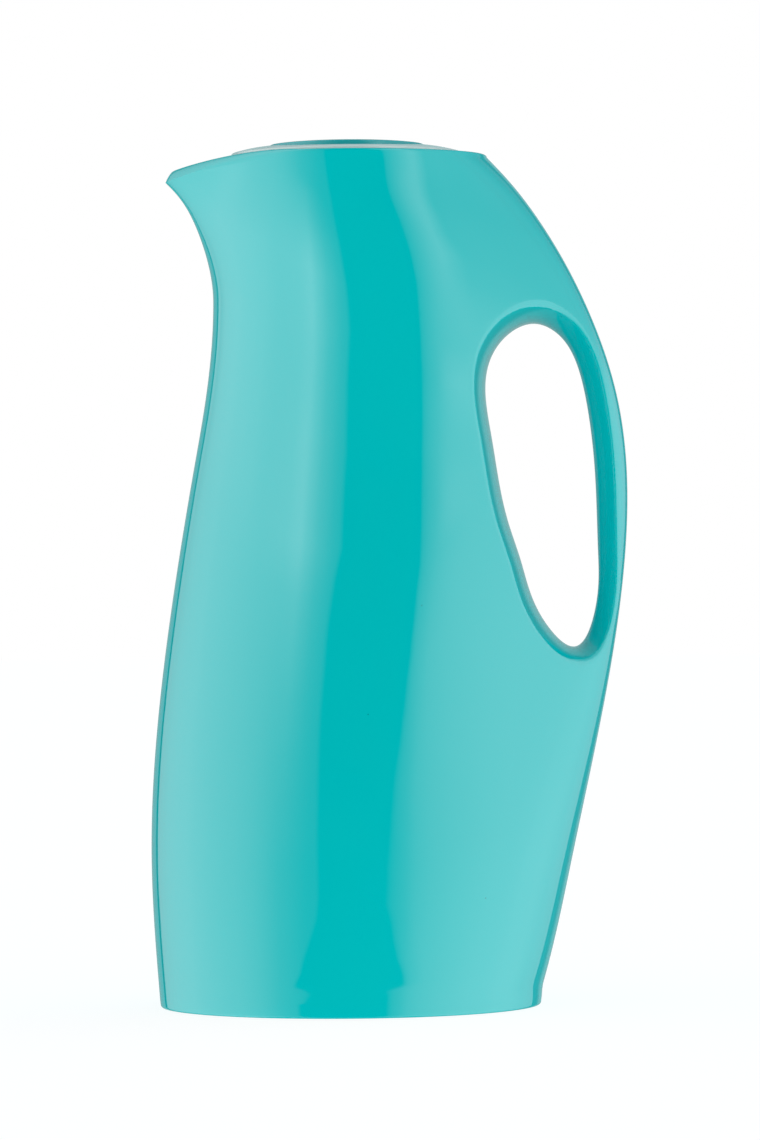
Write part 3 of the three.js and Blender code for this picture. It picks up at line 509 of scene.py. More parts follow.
# %% [markdown]
# ## Round pieces
# Most of the inside was turned on a lathe or moulded in a round mould. Each such piece starts as a circle
# whose points are set on the piece's outline, in the plane of X and Z. Spin sweeps the outline round the
# axis, and a Bevel modifier breaks the sharp edges, because no moulded edge is truly sharp.


# %% Lathe helper
def stepped(*sizes):
    """An outline that runs across and up in turn, given as radius, height, radius, height and so on."""
    pairs = zip(sizes, sizes[1:])
    return [pair if i % 2 == 0 else pair[::-1] for i, pair in enumerate(pairs)]


def lathe(name, outline, edge_round=0.3, steps=96):
    """Spins an outline of (radius, height) points in mm. One that starts and ends on the axis stays open."""
    deselect_all()
    bpy.ops.mesh.primitive_circle_add(vertices=len(outline), radius=1)
    piece = call(bpy.context.object, name)
    for vertex, (radius, height) in zip(piece.data.vertices, outline):
        vertex.co = (radius * MM, 0, height * MM)
        vertex.select = False
    on_axis = outline[0][0] == 0 and outline[-1][0] == 0
    last = len(outline) - 1
    for edge in piece.data.edges:
        edge.select = on_axis and set(edge.vertices) == {0, last}
    bpy.ops.object.mode_set(mode="EDIT")
    if on_axis:
        bpy.ops.mesh.select_mode(type="EDGE")
        bpy.ops.mesh.delete(type="EDGE")
        bpy.ops.mesh.select_mode(type="VERT")
    bpy.ops.mesh.select_all(action="SELECT")
    bpy.ops.mesh.spin(steps=steps, angle=2 * math.pi, center=(0, 0, 0), axis=(0, 0, 1))
    bpy.ops.mesh.select_all(action="SELECT")
    bpy.ops.mesh.remove_doubles(threshold=MERGE_DISTANCE)
    bpy.ops.mesh.normals_make_consistent(inside=False)
    bpy.ops.object.mode_set(mode="OBJECT")
    if edge_round:
        bevel_edges(piece, edge_round)
    smooth(piece)
    return piece


def plain_solid(add_shape, **settings):
    """One of Blender's own shapes, with its place and size worked into the mesh."""
    deselect_all()
    add_shape(**settings)
    bpy.ops.object.transform_apply(location=True, rotation=True, scale=True)
    return bpy.context.object


def spot(radius, turn, height):
    """A place at a radius and a height in mm, turned round the axis."""
    return radius * MM * math.cos(turn), radius * MM * math.sin(turn), height * MM


# %% Thread helper
THREAD_FADE = 14
THREAD_FADE_START = -2
THREAD_STEP = 3
THREAD_ROOT = 0.3
# Shares of the ridge's height and width, along its outline
RIDGE_OUTLINE = [(0, 0), (0.75, 0.18), (1, 0.32), (1, 0.68), (0.75, 0.82), (0, 1)]


def add_thread(piece, wall, crest, width, lead, sweep, start, foot):
    """Joins a thread's ridge to a piece, in mm and degrees. It climbs round the axis, and its ends fade."""
    steps = int(sweep / THREAD_STEP)
    root = wall - (crest - wall) * THREAD_ROOT
    rings = []
    for i in range(steps + 1):
        turned = sweep * i / steps
        height = smoothstep(min(turned, sweep - turned), THREAD_FADE_START, THREAD_FADE)
        top = wall + (crest - wall) * height
        low = foot + lead * turned / 360
        ridge = [(wall + (top - wall) * rise, low + width * run) for rise, run in RIDGE_OUTLINE]
        angle = math.radians(start + turned)
        rings.append([
            (radius * math.cos(angle), radius * math.sin(angle), z)
            for radius, z in [(root, low), *ridge, (root, low + width)]
        ])
    combine(piece, rolled_grid("ridge", np.array(rings)), "UNION")


print("lathe and thread ready")

# %% [markdown]
# ## Lid and button
# The lid's pale crown falls away towards its edge, and its skirt hangs down inside the mouth. The button
# slides in the lid's sleeve. Towards the spout and the handle its edge lies level with the crown, and on
# the two flanks the crown dips, so that a finger finds the button. The lid is spun round first, and its top
# is then bent.

# %% Lid and button
LID_HEIGHT = 287.5
LID_RADIUS = 38.5
LID_BASE = 277.0
LID_CROWN = 2.8
LID_PLATE = 2.4
LID_DIP = 0.45
LID_SADDLE = 0.8
DIP_POWER = 1.5
SKIRT_BORE = 36.5
SLEEVE_BORE = 26.2
SLEEVE_RADIUS = 28.2
SLEEVE_END = LID_HEIGHT - 18
BUTTON_RADIUS = 25.7
BUTTON_BORE = 23.7
BUTTON_STEP = 0.9
BUTTON_CROWN = 0.9
BUTTON_UNDER = 284.4
BUTTON_END = LID_HEIGHT - 11
BOSS_BORE = 3.3
BOSS_RADIUS = 6.0
BOSS_END = 273.4
CROWN_POWER = 4
CROWN_POINTS = 12
FINE_STEPS = 144


def crown_at(radius):
    return LID_HEIGHT - BUTTON_STEP - LID_CROWN * (radius / LID_RADIUS) ** CROWN_POWER


def button_at(radius):
    return LID_HEIGHT - BUTTON_CROWN * (radius / BUTTON_RADIUS) ** CROWN_POWER


lid_top = [(radius, crown_at(radius)) for radius in np.linspace(LID_RADIUS, SLEEVE_BORE, CROWN_POINTS)]
lid = lathe("lid", [
    (SLEEVE_BORE, SLEEVE_END), (SLEEVE_RADIUS, SLEEVE_END),
    (SLEEVE_RADIUS, crown_at(SLEEVE_RADIUS) - LID_PLATE), (SKIRT_BORE, crown_at(SKIRT_BORE) - LID_PLATE),
    (SKIRT_BORE, LID_BASE), (LID_RADIUS, LID_BASE), *lid_top,
], edge_round=0.45, steps=FINE_STEPS)
for vertex in lid.data.vertices:
    across, deep, height = vertex.co / MM
    radius = math.hypot(across, deep)
    outwards = np.clip((LID_RADIUS - radius) / (LID_RADIUS - SLEEVE_BORE), 0, 1) ** DIP_POWER
    upwards = np.clip((height - crown_at(radius) + LID_PLATE) / LID_PLATE, 0, 1)
    bend = LID_SADDLE * math.cos(2 * math.atan2(deep, across)) - LID_DIP
    vertex.co.z += bend * outwards * upwards * MM
stand_for(lid, "lid_ring", "stopper")

button_top = [(radius, button_at(radius)) for radius in np.linspace(BUTTON_RADIUS, 0, CROWN_POINTS)]
button = lathe("button", stepped(
    0, BUTTON_UNDER, BOSS_BORE, BOSS_END, BOSS_RADIUS, BUTTON_UNDER, BUTTON_BORE, BUTTON_END, BUTTON_RADIUS,
) + button_top, edge_round=0.4, steps=FINE_STEPS)
stand_for(button, "push_button", "button")
tell(lid, button)

# %% [markdown]
# ## Pouring collar
# The collar sits on the shell's seat. Its flange follows the inside of the spout and closes the gap round
# the mouth, and three thread ridges inside it hold the stopper. The flange isn't round, so the collar is
# rolled from rings like the shell.

# %% Pouring collar
COLLAR_BASE = 239.3
COLLAR_FLOOR = COLLAR_BASE + 2.2
COLLAR_TOP = 265.3
COLLAR_HOLE = 27.5
COLLAR_BORE = 36.5
COLLAR_RADIUS = 38.7
COLLAR_CREST = 34.3
COLLAR_THREAD_FOOT = COLLAR_BASE + 10
FLANGE_UNDER = COLLAR_TOP - 3
FLANGE_INSET = 2.9
THREAD_LEAD = 24.0
THREAD_STARTS = 3
THREAD_WIDTH = 3.0
THREAD_SWEEP = 100


def add_screw(piece, wall, crest, foot):
    """Joins the ridges of the stopper's thread to a piece."""
    for i in range(THREAD_STARTS):
        start = 360 * i / THREAD_STARTS
        add_thread(piece, wall, crest, THREAD_WIDTH, THREAD_LEAD, THREAD_SWEEP, start, foot)


collar = rolled_grid("pouring_collar", np.array([
    round_ring(COLLAR_HOLE, COLLAR_BASE), round_ring(COLLAR_RADIUS, COLLAR_BASE),
    round_ring(COLLAR_RADIUS, FLANGE_UNDER), skin_ring(FLANGE_UNDER, FLANGE_INSET),
    skin_ring(COLLAR_TOP, FLANGE_INSET), round_ring(COLLAR_BORE, COLLAR_TOP),
    round_ring(COLLAR_BORE, COLLAR_FLOOR), round_ring(COLLAR_HOLE, COLLAR_FLOOR),
]), closed_path=True)
bevel_edges(collar, 0.3)
add_screw(collar, COLLAR_BORE, COLLAR_CREST, COLLAR_THREAD_FOOT)
smooth(collar)
stand_for(collar, "pour_collar", "jug")
tell(collar)

# %% [markdown]
# ## Stopper
# The barrel screws into the collar. It is closed by a floor with a nose that reaches into the flask, and
# six windows above the collar let the drink out. A guide with five ports holds the valve's stem in the
# middle, and a soft ring seals the barrel against the collar's floor.

# %% Stopper barrel
GAP = 0.3
BARREL_RADIUS = 33.5
BARREL_BORE = 31.0
BARREL_BASE = 244.1
BARREL_FLOOR = BARREL_BASE + 2.4
BARREL_TOP = crown_at(BARREL_RADIUS) - LID_PLATE - GAP
BARREL_CREST = 35.7
BARREL_THREAD_FOOT = 245.3
NOSE_BORE = 16.0
NOSE_RADIUS = 18.0
NOSE_END = 222.1
WINDOW_COUNT = 6
WINDOW_PLACE = 32.0
WINDOW_MIDDLE = COLLAR_TOP + 5.5
WINDOW_SIZE = (12, 20, 8)
barrel = lathe("stopper_barrel", stepped(
    NOSE_BORE, NOSE_END, NOSE_RADIUS, BARREL_BASE, BARREL_RADIUS, BARREL_TOP, BARREL_BORE, BARREL_FLOOR,
    NOSE_BORE,
), edge_round=0.35)
add_screw(barrel, BARREL_RADIUS, BARREL_CREST, BARREL_THREAD_FOOT)
for i in range(WINDOW_COUNT):
    turn = 2 * math.pi * (i + 0.5) / WINDOW_COUNT
    window = plain_solid(
        bpy.ops.mesh.primitive_cube_add, size=1, location=spot(WINDOW_PLACE, turn, WINDOW_MIDDLE),
        rotation=(0, 0, turn), scale=[length * MM for length in WINDOW_SIZE],
    )
    bevel_edges(window, 1.5, segments=4)
    combine(barrel, window, "DIFFERENCE")
smooth(barrel)
stand_for(barrel, "stopper_barrel", "stopper")
tell(barrel)

# %% Stem guide and stopper gasket
GUIDE_BASE = 246.8
GUIDE_TOP = GUIDE_BASE + 2.5
GUIDE_BORE = 3.5
GUIDE_RADIUS = 30.7
HUB_RADIUS = 5.7
HUB_TOP = BOSS_END - 10
PORT_COUNT = 5
PORT_RADIUS = 3.6
PORT_PLACE = 11.0
GASKET_BORE = 25.0
GASKET_UNDER = 241.8
GASKET_GROOVE = 242.1
GASKET_TOP = 243.8
guide = lathe("stem_guide", stepped(
    GUIDE_BORE, GUIDE_BASE, GUIDE_RADIUS, GUIDE_TOP, HUB_RADIUS, HUB_TOP, GUIDE_BORE,
))
for i in range(PORT_COUNT):
    turn = 2 * math.pi * i / PORT_COUNT
    port = plain_solid(
        bpy.ops.mesh.primitive_cylinder_add, vertices=32, radius=PORT_RADIUS * MM, depth=8 * MM,
        location=spot(PORT_PLACE, turn, GUIDE_BASE + 1),
    )
    combine(guide, port, "DIFFERENCE")
smooth(guide)
stand_for(guide, "stem_guide", "stopper")

stopper_gasket = lathe("stopper_gasket", [
    (GASKET_BORE, GASKET_UNDER), (27.4, GASKET_UNDER), (28, GASKET_GROOVE), (28.6, GASKET_UNDER),
    (30.4, GASKET_UNDER), (31, GASKET_GROOVE), (31.6, GASKET_UNDER), (BARREL_RADIUS, GASKET_UNDER),
    (BARREL_RADIUS, GASKET_TOP), (GASKET_BORE, GASKET_TOP),
])
stand_for(stopper_gasket, "stopper_gasket", "stopper_seat")
tell(guide, stopper_gasket)

# %% [markdown]
# ## Valve
# The button pushes a steel stem through the guide. At its lower end a disc with a soft ring closes the
# nose, held by a nut. A wire spring round the stem lifts the button again. The spring's wire is a ring of
# points carried along a helix. It hangs from the button and moves with it.

# %% Valve
STEM_RADIUS = 3.0
STEM_GROOVE = 2.7
STEM_TOP = 284.1
PLATE_BORE = 3.3
PLATE_RADIUS = 18.0
PLATE_UNDER = 216.6
PLATE_STEP = PLATE_UNDER + 0.8
PLATE_TOP = 219.5
SEAL_UNDER = 219.8
SEAL_EDGE = 221.4
SEAL_TOP = 221.8
NUT_RADIUS = 6.0
NUT_HEIGHT = 3.2
NUT_UNDER = 213.1
NUT_TOP = 216.3
NUT_CHAMFER = 0.6
NUT_FACE = 5.2
NUT_CORNER = 6.2
stem = lathe("valve_stem", [
    (0, NUT_UNDER), (2.4, NUT_UNDER), (STEM_RADIUS, NUT_UNDER + 0.6), (STEM_RADIUS, 219),
    (STEM_GROOVE, 219.3), (STEM_GROOVE, 220.3), (STEM_RADIUS, 220.6), (STEM_RADIUS, 283.5),
    (2.5, STEM_TOP), (0, STEM_TOP),
], edge_round=0.15, steps=48)
stand_for(stem, "valve_stem", "button")
plate = lathe("valve_plate", [
    (PLATE_BORE, PLATE_UNDER), (8, PLATE_UNDER), (10, PLATE_STEP), (16, PLATE_STEP),
    (PLATE_RADIUS, PLATE_UNDER + 1.2), (PLATE_RADIUS, PLATE_TOP), (PLATE_BORE, PLATE_TOP),
])
stand_for(plate, "valve_plate", "button")
seal = lathe("valve_seal", [
    (12, SEAL_UNDER), (18, SEAL_UNDER), (18, SEAL_EDGE), (17, SEAL_TOP), (13, SEAL_TOP), (12, SEAL_EDGE),
])
stand_for(seal, "valve_seal", "button")

nut = call(plain_solid(
    bpy.ops.mesh.primitive_cylinder_add, vertices=6, radius=NUT_RADIUS * MM, depth=NUT_HEIGHT * MM,
    location=(0, 0, (NUT_UNDER + NUT_HEIGHT / 2) * MM), rotation=(0, 0, math.pi / 6),
), "valve_nut")
chamfer = lathe("nut_chamfer", [
    (0, NUT_UNDER), (NUT_FACE, NUT_UNDER), (NUT_CORNER, NUT_UNDER + NUT_CHAMFER),
    (NUT_CORNER, NUT_TOP - NUT_CHAMFER), (NUT_FACE, NUT_TOP), (0, NUT_TOP),
], edge_round=0, steps=64)
combine(nut, chamfer, "INTERSECT")
bore = lathe("nut_bore", stepped(0, 212, PLATE_BORE, 217, 0), edge_round=0, steps=32)
combine(nut, bore, "DIFFERENCE")
bevel_edges(nut, 0.12, segments=2)
smooth(nut)
stand_for(nut, "valve_nut", "button")
tell(stem, plate, seal, nut)

# %% Return spring
SPRING_RADIUS = 8.6
SPRING_WIRE = 0.7
SPRING_TURNS = 6
SPRING_LOW = 250.3
SPRING_HIGH = 283.4
SPRING_STEPS = SPRING_TURNS * 36
WIRE_POINTS = 12
wire_turns = np.linspace(0, 2 * np.pi, WIRE_POINTS, endpoint=False)
wire_rings = []
for turned in np.linspace(0, SPRING_TURNS, SPRING_STEPS + 1):
    height = SPRING_LOW + (SPRING_HIGH - SPRING_LOW) * turned / SPRING_TURNS
    reach = SPRING_RADIUS + SPRING_WIRE * np.cos(wire_turns)
    angle = 2 * np.pi * turned
    wire_rings.append(np.stack([
        reach * np.cos(angle), reach * np.sin(angle), height + SPRING_WIRE * np.sin(wire_turns),
    ], axis=1))
spring = rolled_grid("return_spring", np.array(wire_rings))
smooth(spring)
stand_for(spring, "return_spring", "button")
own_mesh(spring)
tell(spring)

# %% [markdown]
# ## Vacuum flask
# The flask is two glass walls, one inside the other, fused at the mouth and silvered on the faces towards
# the vacuum. Felt pads keep the walls apart, and under the base the pumping tip is pinched shut. Each wall
# is an outline out and back: a domed base, a straight side, a shoulder and a neck.

# %% Flask walls
GLASS = 1.5
FLASK_RADIUS = 54.0
FLASK_TOP = 232.3
LIP_UNDER = FLASK_TOP - 2 * GLASS
DOME_TOP = 50.0
DOME_DEPTH = 30.0
SHOULDER_HEIGHT = 112.0
NECK_BASE = 222.3
MOUTH_RADIUS = 20.0
NECK_RADIUS = 25.4
INNER_INSET = 5.5
TIP_HOLE = 2.3


def flask_side(inset, neck, base, top):
    """Outline of one side of a glass wall, base to mouth."""
    side = FLASK_RADIUS - inset
    points = []
    for angle in np.linspace(math.asin(min(base / side, 1)), math.pi / 2, 12):
        points.append((side * math.sin(angle), DOME_TOP - (DOME_DEPTH - inset) * math.cos(angle)))
    for height in np.linspace(SHOULDER_HEIGHT, NECK_BASE, 18):
        narrowing = float(smoothstep(height, SHOULDER_HEIGHT, NECK_BASE))
        points.append((side + (neck - side) * narrowing, height))
    points.append((neck, top))
    return points


outer_outside = flask_side(0, NECK_RADIUS, TIP_HOLE, LIP_UNDER - GAP)
outer_inside = flask_side(GLASS, NECK_RADIUS - GLASS, TIP_HOLE, LIP_UNDER - GAP)
outer_glass = lathe("outer_glass", outer_outside + outer_inside[::-1])
stand_for(outer_glass, "liner_outer_glass", "jug")
inner_outside = flask_side(INNER_INSET, MOUTH_RADIUS + GLASS, 0, LIP_UNDER)
inner_lip = [(NECK_RADIUS, LIP_UNDER), (NECK_RADIUS, FLASK_TOP)]
inner_inside = flask_side(INNER_INSET + GLASS, MOUTH_RADIUS, 0, FLASK_TOP)
inner_glass = lathe("inner_glass", inner_outside + inner_lip + inner_inside[::-1], edge_round=0.6)
stand_for(inner_glass, "liner_inner_glass", "jug")
tell(outer_glass, inner_glass)

# %% Pumping tip, pads and neck gasket
PAD_COUNT = 3
PAD_RADIUS = 5.0
PAD_PLACE = 50.5
PAD_HEIGHT = 70.0
PAD_INNER = 48.8
PAD_OUTER = 52.2
RING_BORE = 25.7
RING_RADIUS = 28.7
RING_UNDER = 224.6
RING_SEAT = 232.6
RING_GROOVE = 235.4
RING_TOP = 235.7
tip = lathe("pumping_tip", [
    (0, 12), (0.6, 12.2), (1.2, 13.2), (1.7, 14.4), (2, 15), (4, 19.7), (2, 19.7), (2, 21.5), (0, 21.5),
], edge_round=0.25, steps=48)
stand_for(tip, "liner_seal_tip", "jug")

pads = []
for i in range(PAD_COUNT):
    turn = 2 * math.pi * i / PAD_COUNT
    pad = call(plain_solid(
        bpy.ops.mesh.primitive_cylinder_add, vertices=48, radius=PAD_RADIUS * MM, depth=8 * MM,
        rotation=(0, math.pi / 2, turn), location=spot(PAD_PLACE, turn, PAD_HEIGHT),
    ), f"glass_pad_{i + 1}")
    gap = lathe("pad_gap", stepped(
        PAD_INNER, PAD_HEIGHT - 10, PAD_OUTER, PAD_HEIGHT + 10, PAD_INNER,
    ), edge_round=0, steps=192)
    combine(pad, gap, "INTERSECT")
    bevel_edges(pad, 0.5)
    smooth(pad)
    stand_for(pad, f"liner_spacer_{i + 1}", "jug")
    pads.append(pad)

neck_gasket = lathe("neck_gasket", [
    (MOUTH_RADIUS, RING_SEAT), (RING_BORE, RING_SEAT), (RING_BORE, RING_UNDER), (28.2, RING_UNDER),
    (RING_RADIUS, 225.4), (RING_RADIUS, RING_TOP), (26, RING_TOP), (25.4, RING_GROOVE), (24.8, RING_TOP),
    (22.6, RING_TOP), (22, RING_GROOVE), (21.4, RING_TOP), (MOUTH_RADIUS, RING_TOP),
])
stand_for(neck_gasket, "neck_gasket", "jug")
tell(tip, neck_gasket, *pads)

# %% [markdown]
# ## Screwed base
# The base closes the shell from below. Two half-moon pockets in its underside leave a bar for the fingers
# that turn it, its thread runs on a ridge in the shell's bore, and a ring inside holds the rubber cup that
# carries the flask.

# %% Base cap
BASE_RADIUS = 55.9
BASE_UNDER = 1.0
BASE_FLOOR = 4.0
BASE_TOP = 14.0
BASE_WALL_BORE = 53.4
CUP_RING_RADIUS = 38.3
CUP_RING_BORE = 36.3
CUP_RING_TOP = 8.0
POCKET_RADIUS = 40.0
POCKET_DEPTH = 1.8
POCKET_TOP = BASE_UNDER + POCKET_DEPTH
GRIP_BAR = (120, 13, 20)
BASE_CREST = 57.5
BASE_THREAD_FOOT = 5.5
BASE_THREAD_WIDTH = 2.2
BASE_LEAD = 6.0
BASE_SWEEP = 330
base_cap = lathe("base_cap", stepped(
    0, BASE_UNDER, BASE_RADIUS, BASE_TOP, BASE_WALL_BORE, BASE_FLOOR, CUP_RING_RADIUS, CUP_RING_TOP,
    CUP_RING_BORE, BASE_FLOOR, 0,
), edge_round=0.5, steps=FINE_STEPS)
pocket = lathe("pocket", stepped(0, 0, POCKET_RADIUS, POCKET_TOP, 0), edge_round=0, steps=FINE_STEPS)
bar = plain_solid(bpy.ops.mesh.primitive_cube_add, size=1, scale=[length * MM for length in GRIP_BAR])
combine(pocket, bar, "DIFFERENCE")
bevel_edges(pocket, 0.6)
combine(base_cap, pocket, "DIFFERENCE")
add_thread(base_cap, BASE_RADIUS, BASE_CREST, BASE_THREAD_WIDTH, BASE_LEAD, BASE_SWEEP, 0, BASE_THREAD_FOOT)
smooth(base_cap)
stand_for(base_cap, "base_cap", "base")
tell(base_cap)

# %% Thread in the shell's bore
BORE_CREST = 56.4
BORE_THREAD_FOOT = 2.5
add_thread(shell, BASE_BORE, BORE_CREST, BASE_THREAD_WIDTH, BASE_LEAD, BASE_SWEEP, 0, BORE_THREAD_FOOT)
smooth(shell, SHELL_SHARP_ANGLE)
tell(shell)

# %% Rubber cup
CUP_RADIUS = 36.0
CUP_BORE = 12.0
CUP_UNDER = 4.3


def dome_under(radius):
    return DOME_TOP - DOME_DEPTH * math.sqrt(1 - (radius / FLASK_RADIUS) ** 2) - GAP


cup_top = [(radius, dome_under(radius)) for radius in np.linspace(CUP_RADIUS, CUP_BORE, 10)]
cup = lathe("rubber_cup", [(CUP_BORE, CUP_UNDER), (CUP_RADIUS, CUP_UNDER), *cup_top], edge_round=0.5)
stand_for(cup, "base_cushion", "base_seat")
tell(cup)

# %% [markdown]
# ## Finishes
# Polished plastic is one colour with a clear, smooth surface. Close up it has faint flow marks, a few dark
# specks and a slight waviness from the mould, which break up the reflections.


# %% Material helpers
NOISE_DETAIL = 3.0
NOISE_LOW = 0.3
NOISE_HIGH = 0.7
TONE_GRAIN = 14
POLISH_GRAIN = 60
WAVE_HEIGHT = 0.0005
SPECK_GRAIN = 75.0
SPECK_SIZE = 0.02
SPECK_SHADE = 0.6


def new_material(name):
    material = bpy.data.materials.new(name)
    material.use_nodes = True
    return material, material.node_tree


def give(material, *pieces):
    for piece in pieces:
        piece.data.materials.clear()
        piece.data.materials.append(material)


def feed(tree, node, inputs):
    """Sets a node's inputs by name or number. An input that gets a socket is linked to it."""
    for name, value in inputs.items():
        value = getattr(value, "socket", value)
        if isinstance(value, bpy.types.NodeSocket):
            tree.links.new(value, node.inputs[name])
        else:
            node.inputs[name].default_value = value


def add(tree, kind, inputs=None, **settings):
    """Adds a shader node with its settings and inputs."""
    node = tree.nodes.new("ShaderNode" + kind)
    for name, value in settings.items():
        setattr(node, name, value)
    feed(tree, node, inputs or {})
    return node


def speckle(tree, scale, stretch=(1, 1, 1)):
    """Noise on object coordinates, as a 0 to 1 value."""
    place = add(tree, "TexCoord").outputs["Object"]
    stretched = add(tree, "Mapping", {"Scale": stretch, "Vector": place}).outputs["Vector"]
    noise = add(tree, "TexNoise", {"Scale": scale, "Detail": NOISE_DETAIL, "Vector": stretched})
    return noise.outputs["Fac"]


def ramp(tree, value, low, high):
    """Spreads the middle of a noise, where most of it lies, over a range."""
    ends = {"From Min": NOISE_LOW, "From Max": NOISE_HIGH, "To Min": low, "To Max": high}
    return add(tree, "MapRange", {"Value": value, **ends}).outputs["Result"]


def two_tone(tree, value, first, second):
    """Mixes two colours by a 0 to 1 value."""
    mixed = {"A": (*first, 1), "B": (*second, 1), "Factor": value}
    return add(tree, "Mix", mixed, data_type="RGBA").outputs["Result"]


def sprinkle(tree, colour, speck):
    """Lays a few small specks of another colour over a surface, as dust and nicks do."""
    place = add(tree, "TexCoord").outputs["Object"]
    cells = add(tree, "TexVoronoi", {"Scale": SPECK_GRAIN, "Vector": place})
    near = add(tree, "Math", {0: cells.outputs["Distance"], 1: SPECK_SIZE}, operation="LESS_THAN")
    mixed = {"A": colour, "B": (*speck, 1), "Factor": near.outputs["Value"]}
    return add(tree, "Mix", mixed, data_type="RGBA").outputs["Result"]


def moulded_plastic(name, first, second, rough, wave, grain=900.0):
    """Moulded plastic: two near tones, a few darker specks, uneven polish and a slight waviness."""
    material, tree = new_material(name)
    tone = two_tone(tree, speckle(tree, TONE_GRAIN), first, second)
    speck = [SPECK_SHADE * value for value in first]
    bump = add(tree, "Bump", {"Strength": wave, "Distance": WAVE_HEIGHT, "Height": speckle(tree, grain)})
    feed(tree, tree.nodes["Principled BSDF"], {
        "Base Color": sprinkle(tree, tone, speck),
        "Roughness": ramp(tree, speckle(tree, POLISH_GRAIN), *rough),
        "Normal": bump.outputs["Normal"],
    })
    return material


# %% Gloss plastics
teal_gloss = moulded_plastic("teal gloss", (0.0, 0.468, 0.482), (0.0, 0.488, 0.503), (0.02, 0.04), 0.2, 22.0)
# The button is the shell's teal plastic. Its darker teal is painted shade, for the button's band that sits in
# the weak light from overhead.
teal_painted_shade = moulded_plastic("teal painted shade", (0.0, 0.33, 0.35), (0.0, 0.35, 0.37), (0.2, 0.28), 0.01, 60.0)
pale_gloss = moulded_plastic("pale gloss", (0.56, 0.68, 0.67), (0.59, 0.71, 0.7), (0.08, 0.14), 0.01, 60.0)
give(teal_gloss, shell)
give(teal_painted_shade, button)
give(pale_gloss, lid)
print("finish:", teal_gloss.name, teal_painted_shade.name, pale_gloss.name)

# %% [markdown]
# ## Inner finishes
# The inner plastics are satin, with a fine grain from the mould. Silicone and rubber are matt and a little
# dusty. Silvered glass is a mirror with a faint cloud, drawn steel has fine lines along it, and felt is a
# tangle of short fibres.


# %% Inner plastics and soft pieces
pale_plastic = moulded_plastic("pale plastic", (0.72, 0.76, 0.75), (0.76, 0.8, 0.79), (0.32, 0.42), wave=0.06)
grey_plastic = moulded_plastic("grey plastic", (0.23, 0.26, 0.27), (0.27, 0.3, 0.31), (0.38, 0.5), wave=0.12)
silicone = moulded_plastic("silicone", (0.63, 0.67, 0.66), (0.69, 0.73, 0.72), (0.5, 0.62), wave=0.05)
rubber = moulded_plastic("rubber", (0.04, 0.045, 0.048), (0.052, 0.056, 0.06), (0.62, 0.78), wave=0.2)
give(pale_plastic, collar, barrel, guide, plate)
give(silicone, stopper_gasket, neck_gasket, seal)
give(grey_plastic, base_cap)
give(rubber, cup)
print("finish:", pale_plastic.name, grey_plastic.name, silicone.name, rubber.name)


# %% Glass, steel and felt
SILVER_GRAIN = 35
STEEL_GRAIN = 2500
STEEL_STRETCH = (1, 1, 0.05)
GLASS_GRAIN = 120
FELT_GRAIN = 2400.0


def polished_metal(name, first, second, rough, scale, stretch=(1, 1, 1)):
    """A mirror or a drawn metal: two near tones and a polish that changes along fine lines or clouds."""
    material, tree = new_material(name)
    cloud = speckle(tree, scale, stretch)
    feed(tree, tree.nodes["Principled BSDF"], {
        "Metallic": 1.0,
        "Base Color": two_tone(tree, cloud, first, second),
        "Roughness": ramp(tree, cloud, *rough),
    })
    return material


silvered_glass = polished_metal(
    "silvered glass", (0.66, 0.7, 0.72), (0.74, 0.76, 0.78), (0.03, 0.08), SILVER_GRAIN,
)
steel = polished_metal(
    "drawn steel", (0.46, 0.48, 0.5), (0.55, 0.57, 0.58), (0.2, 0.34), STEEL_GRAIN, STEEL_STRETCH,
)
give(silvered_glass, outer_glass, inner_glass)
give(steel, stem, nut, spring)

clear_glass, tree = new_material("clear glass")
cloud = speckle(tree, GLASS_GRAIN)
feed(tree, tree.nodes["Principled BSDF"], {
    "Transmission Weight": 1.0,
    "IOR": 1.5,
    "Base Color": two_tone(tree, cloud, (0.72, 0.8, 0.82), (0.8, 0.86, 0.88)),
    "Roughness": ramp(tree, cloud, 0.01, 0.05),
})
give(clear_glass, tip)

felt = moulded_plastic("spacer felt", (0.5, 0.46, 0.39), (0.7, 0.65, 0.56), (0.85, 0.98), 0.8, FELT_GRAIN)
feed(felt.node_tree, felt.node_tree.nodes["Principled BSDF"], {"Sheen Weight": 0.3})
give(felt, *pads)
print("finish:", silvered_glass.name, steel.name, clear_glass.name, felt.name)

# %% [markdown]
# ## Studio
# Soft boxes stand close to the left and right of the jug. Between them, round the camera, the studio is
# dark, and so it is behind the jug: that gives the dark band down the middle of the gloss and the dark
# lines along its edges. One round wall holds all of this. Its light changes with the direction round the
# jug, and the dark part between the boxes is wider at some heights. The wall shows only in reflections. An
# even light fills the rest.


# %% Lines of the light
WALL_RADIUS = 0.3
WALL_TOP = 1.2
WALL_UNDER = -0.5
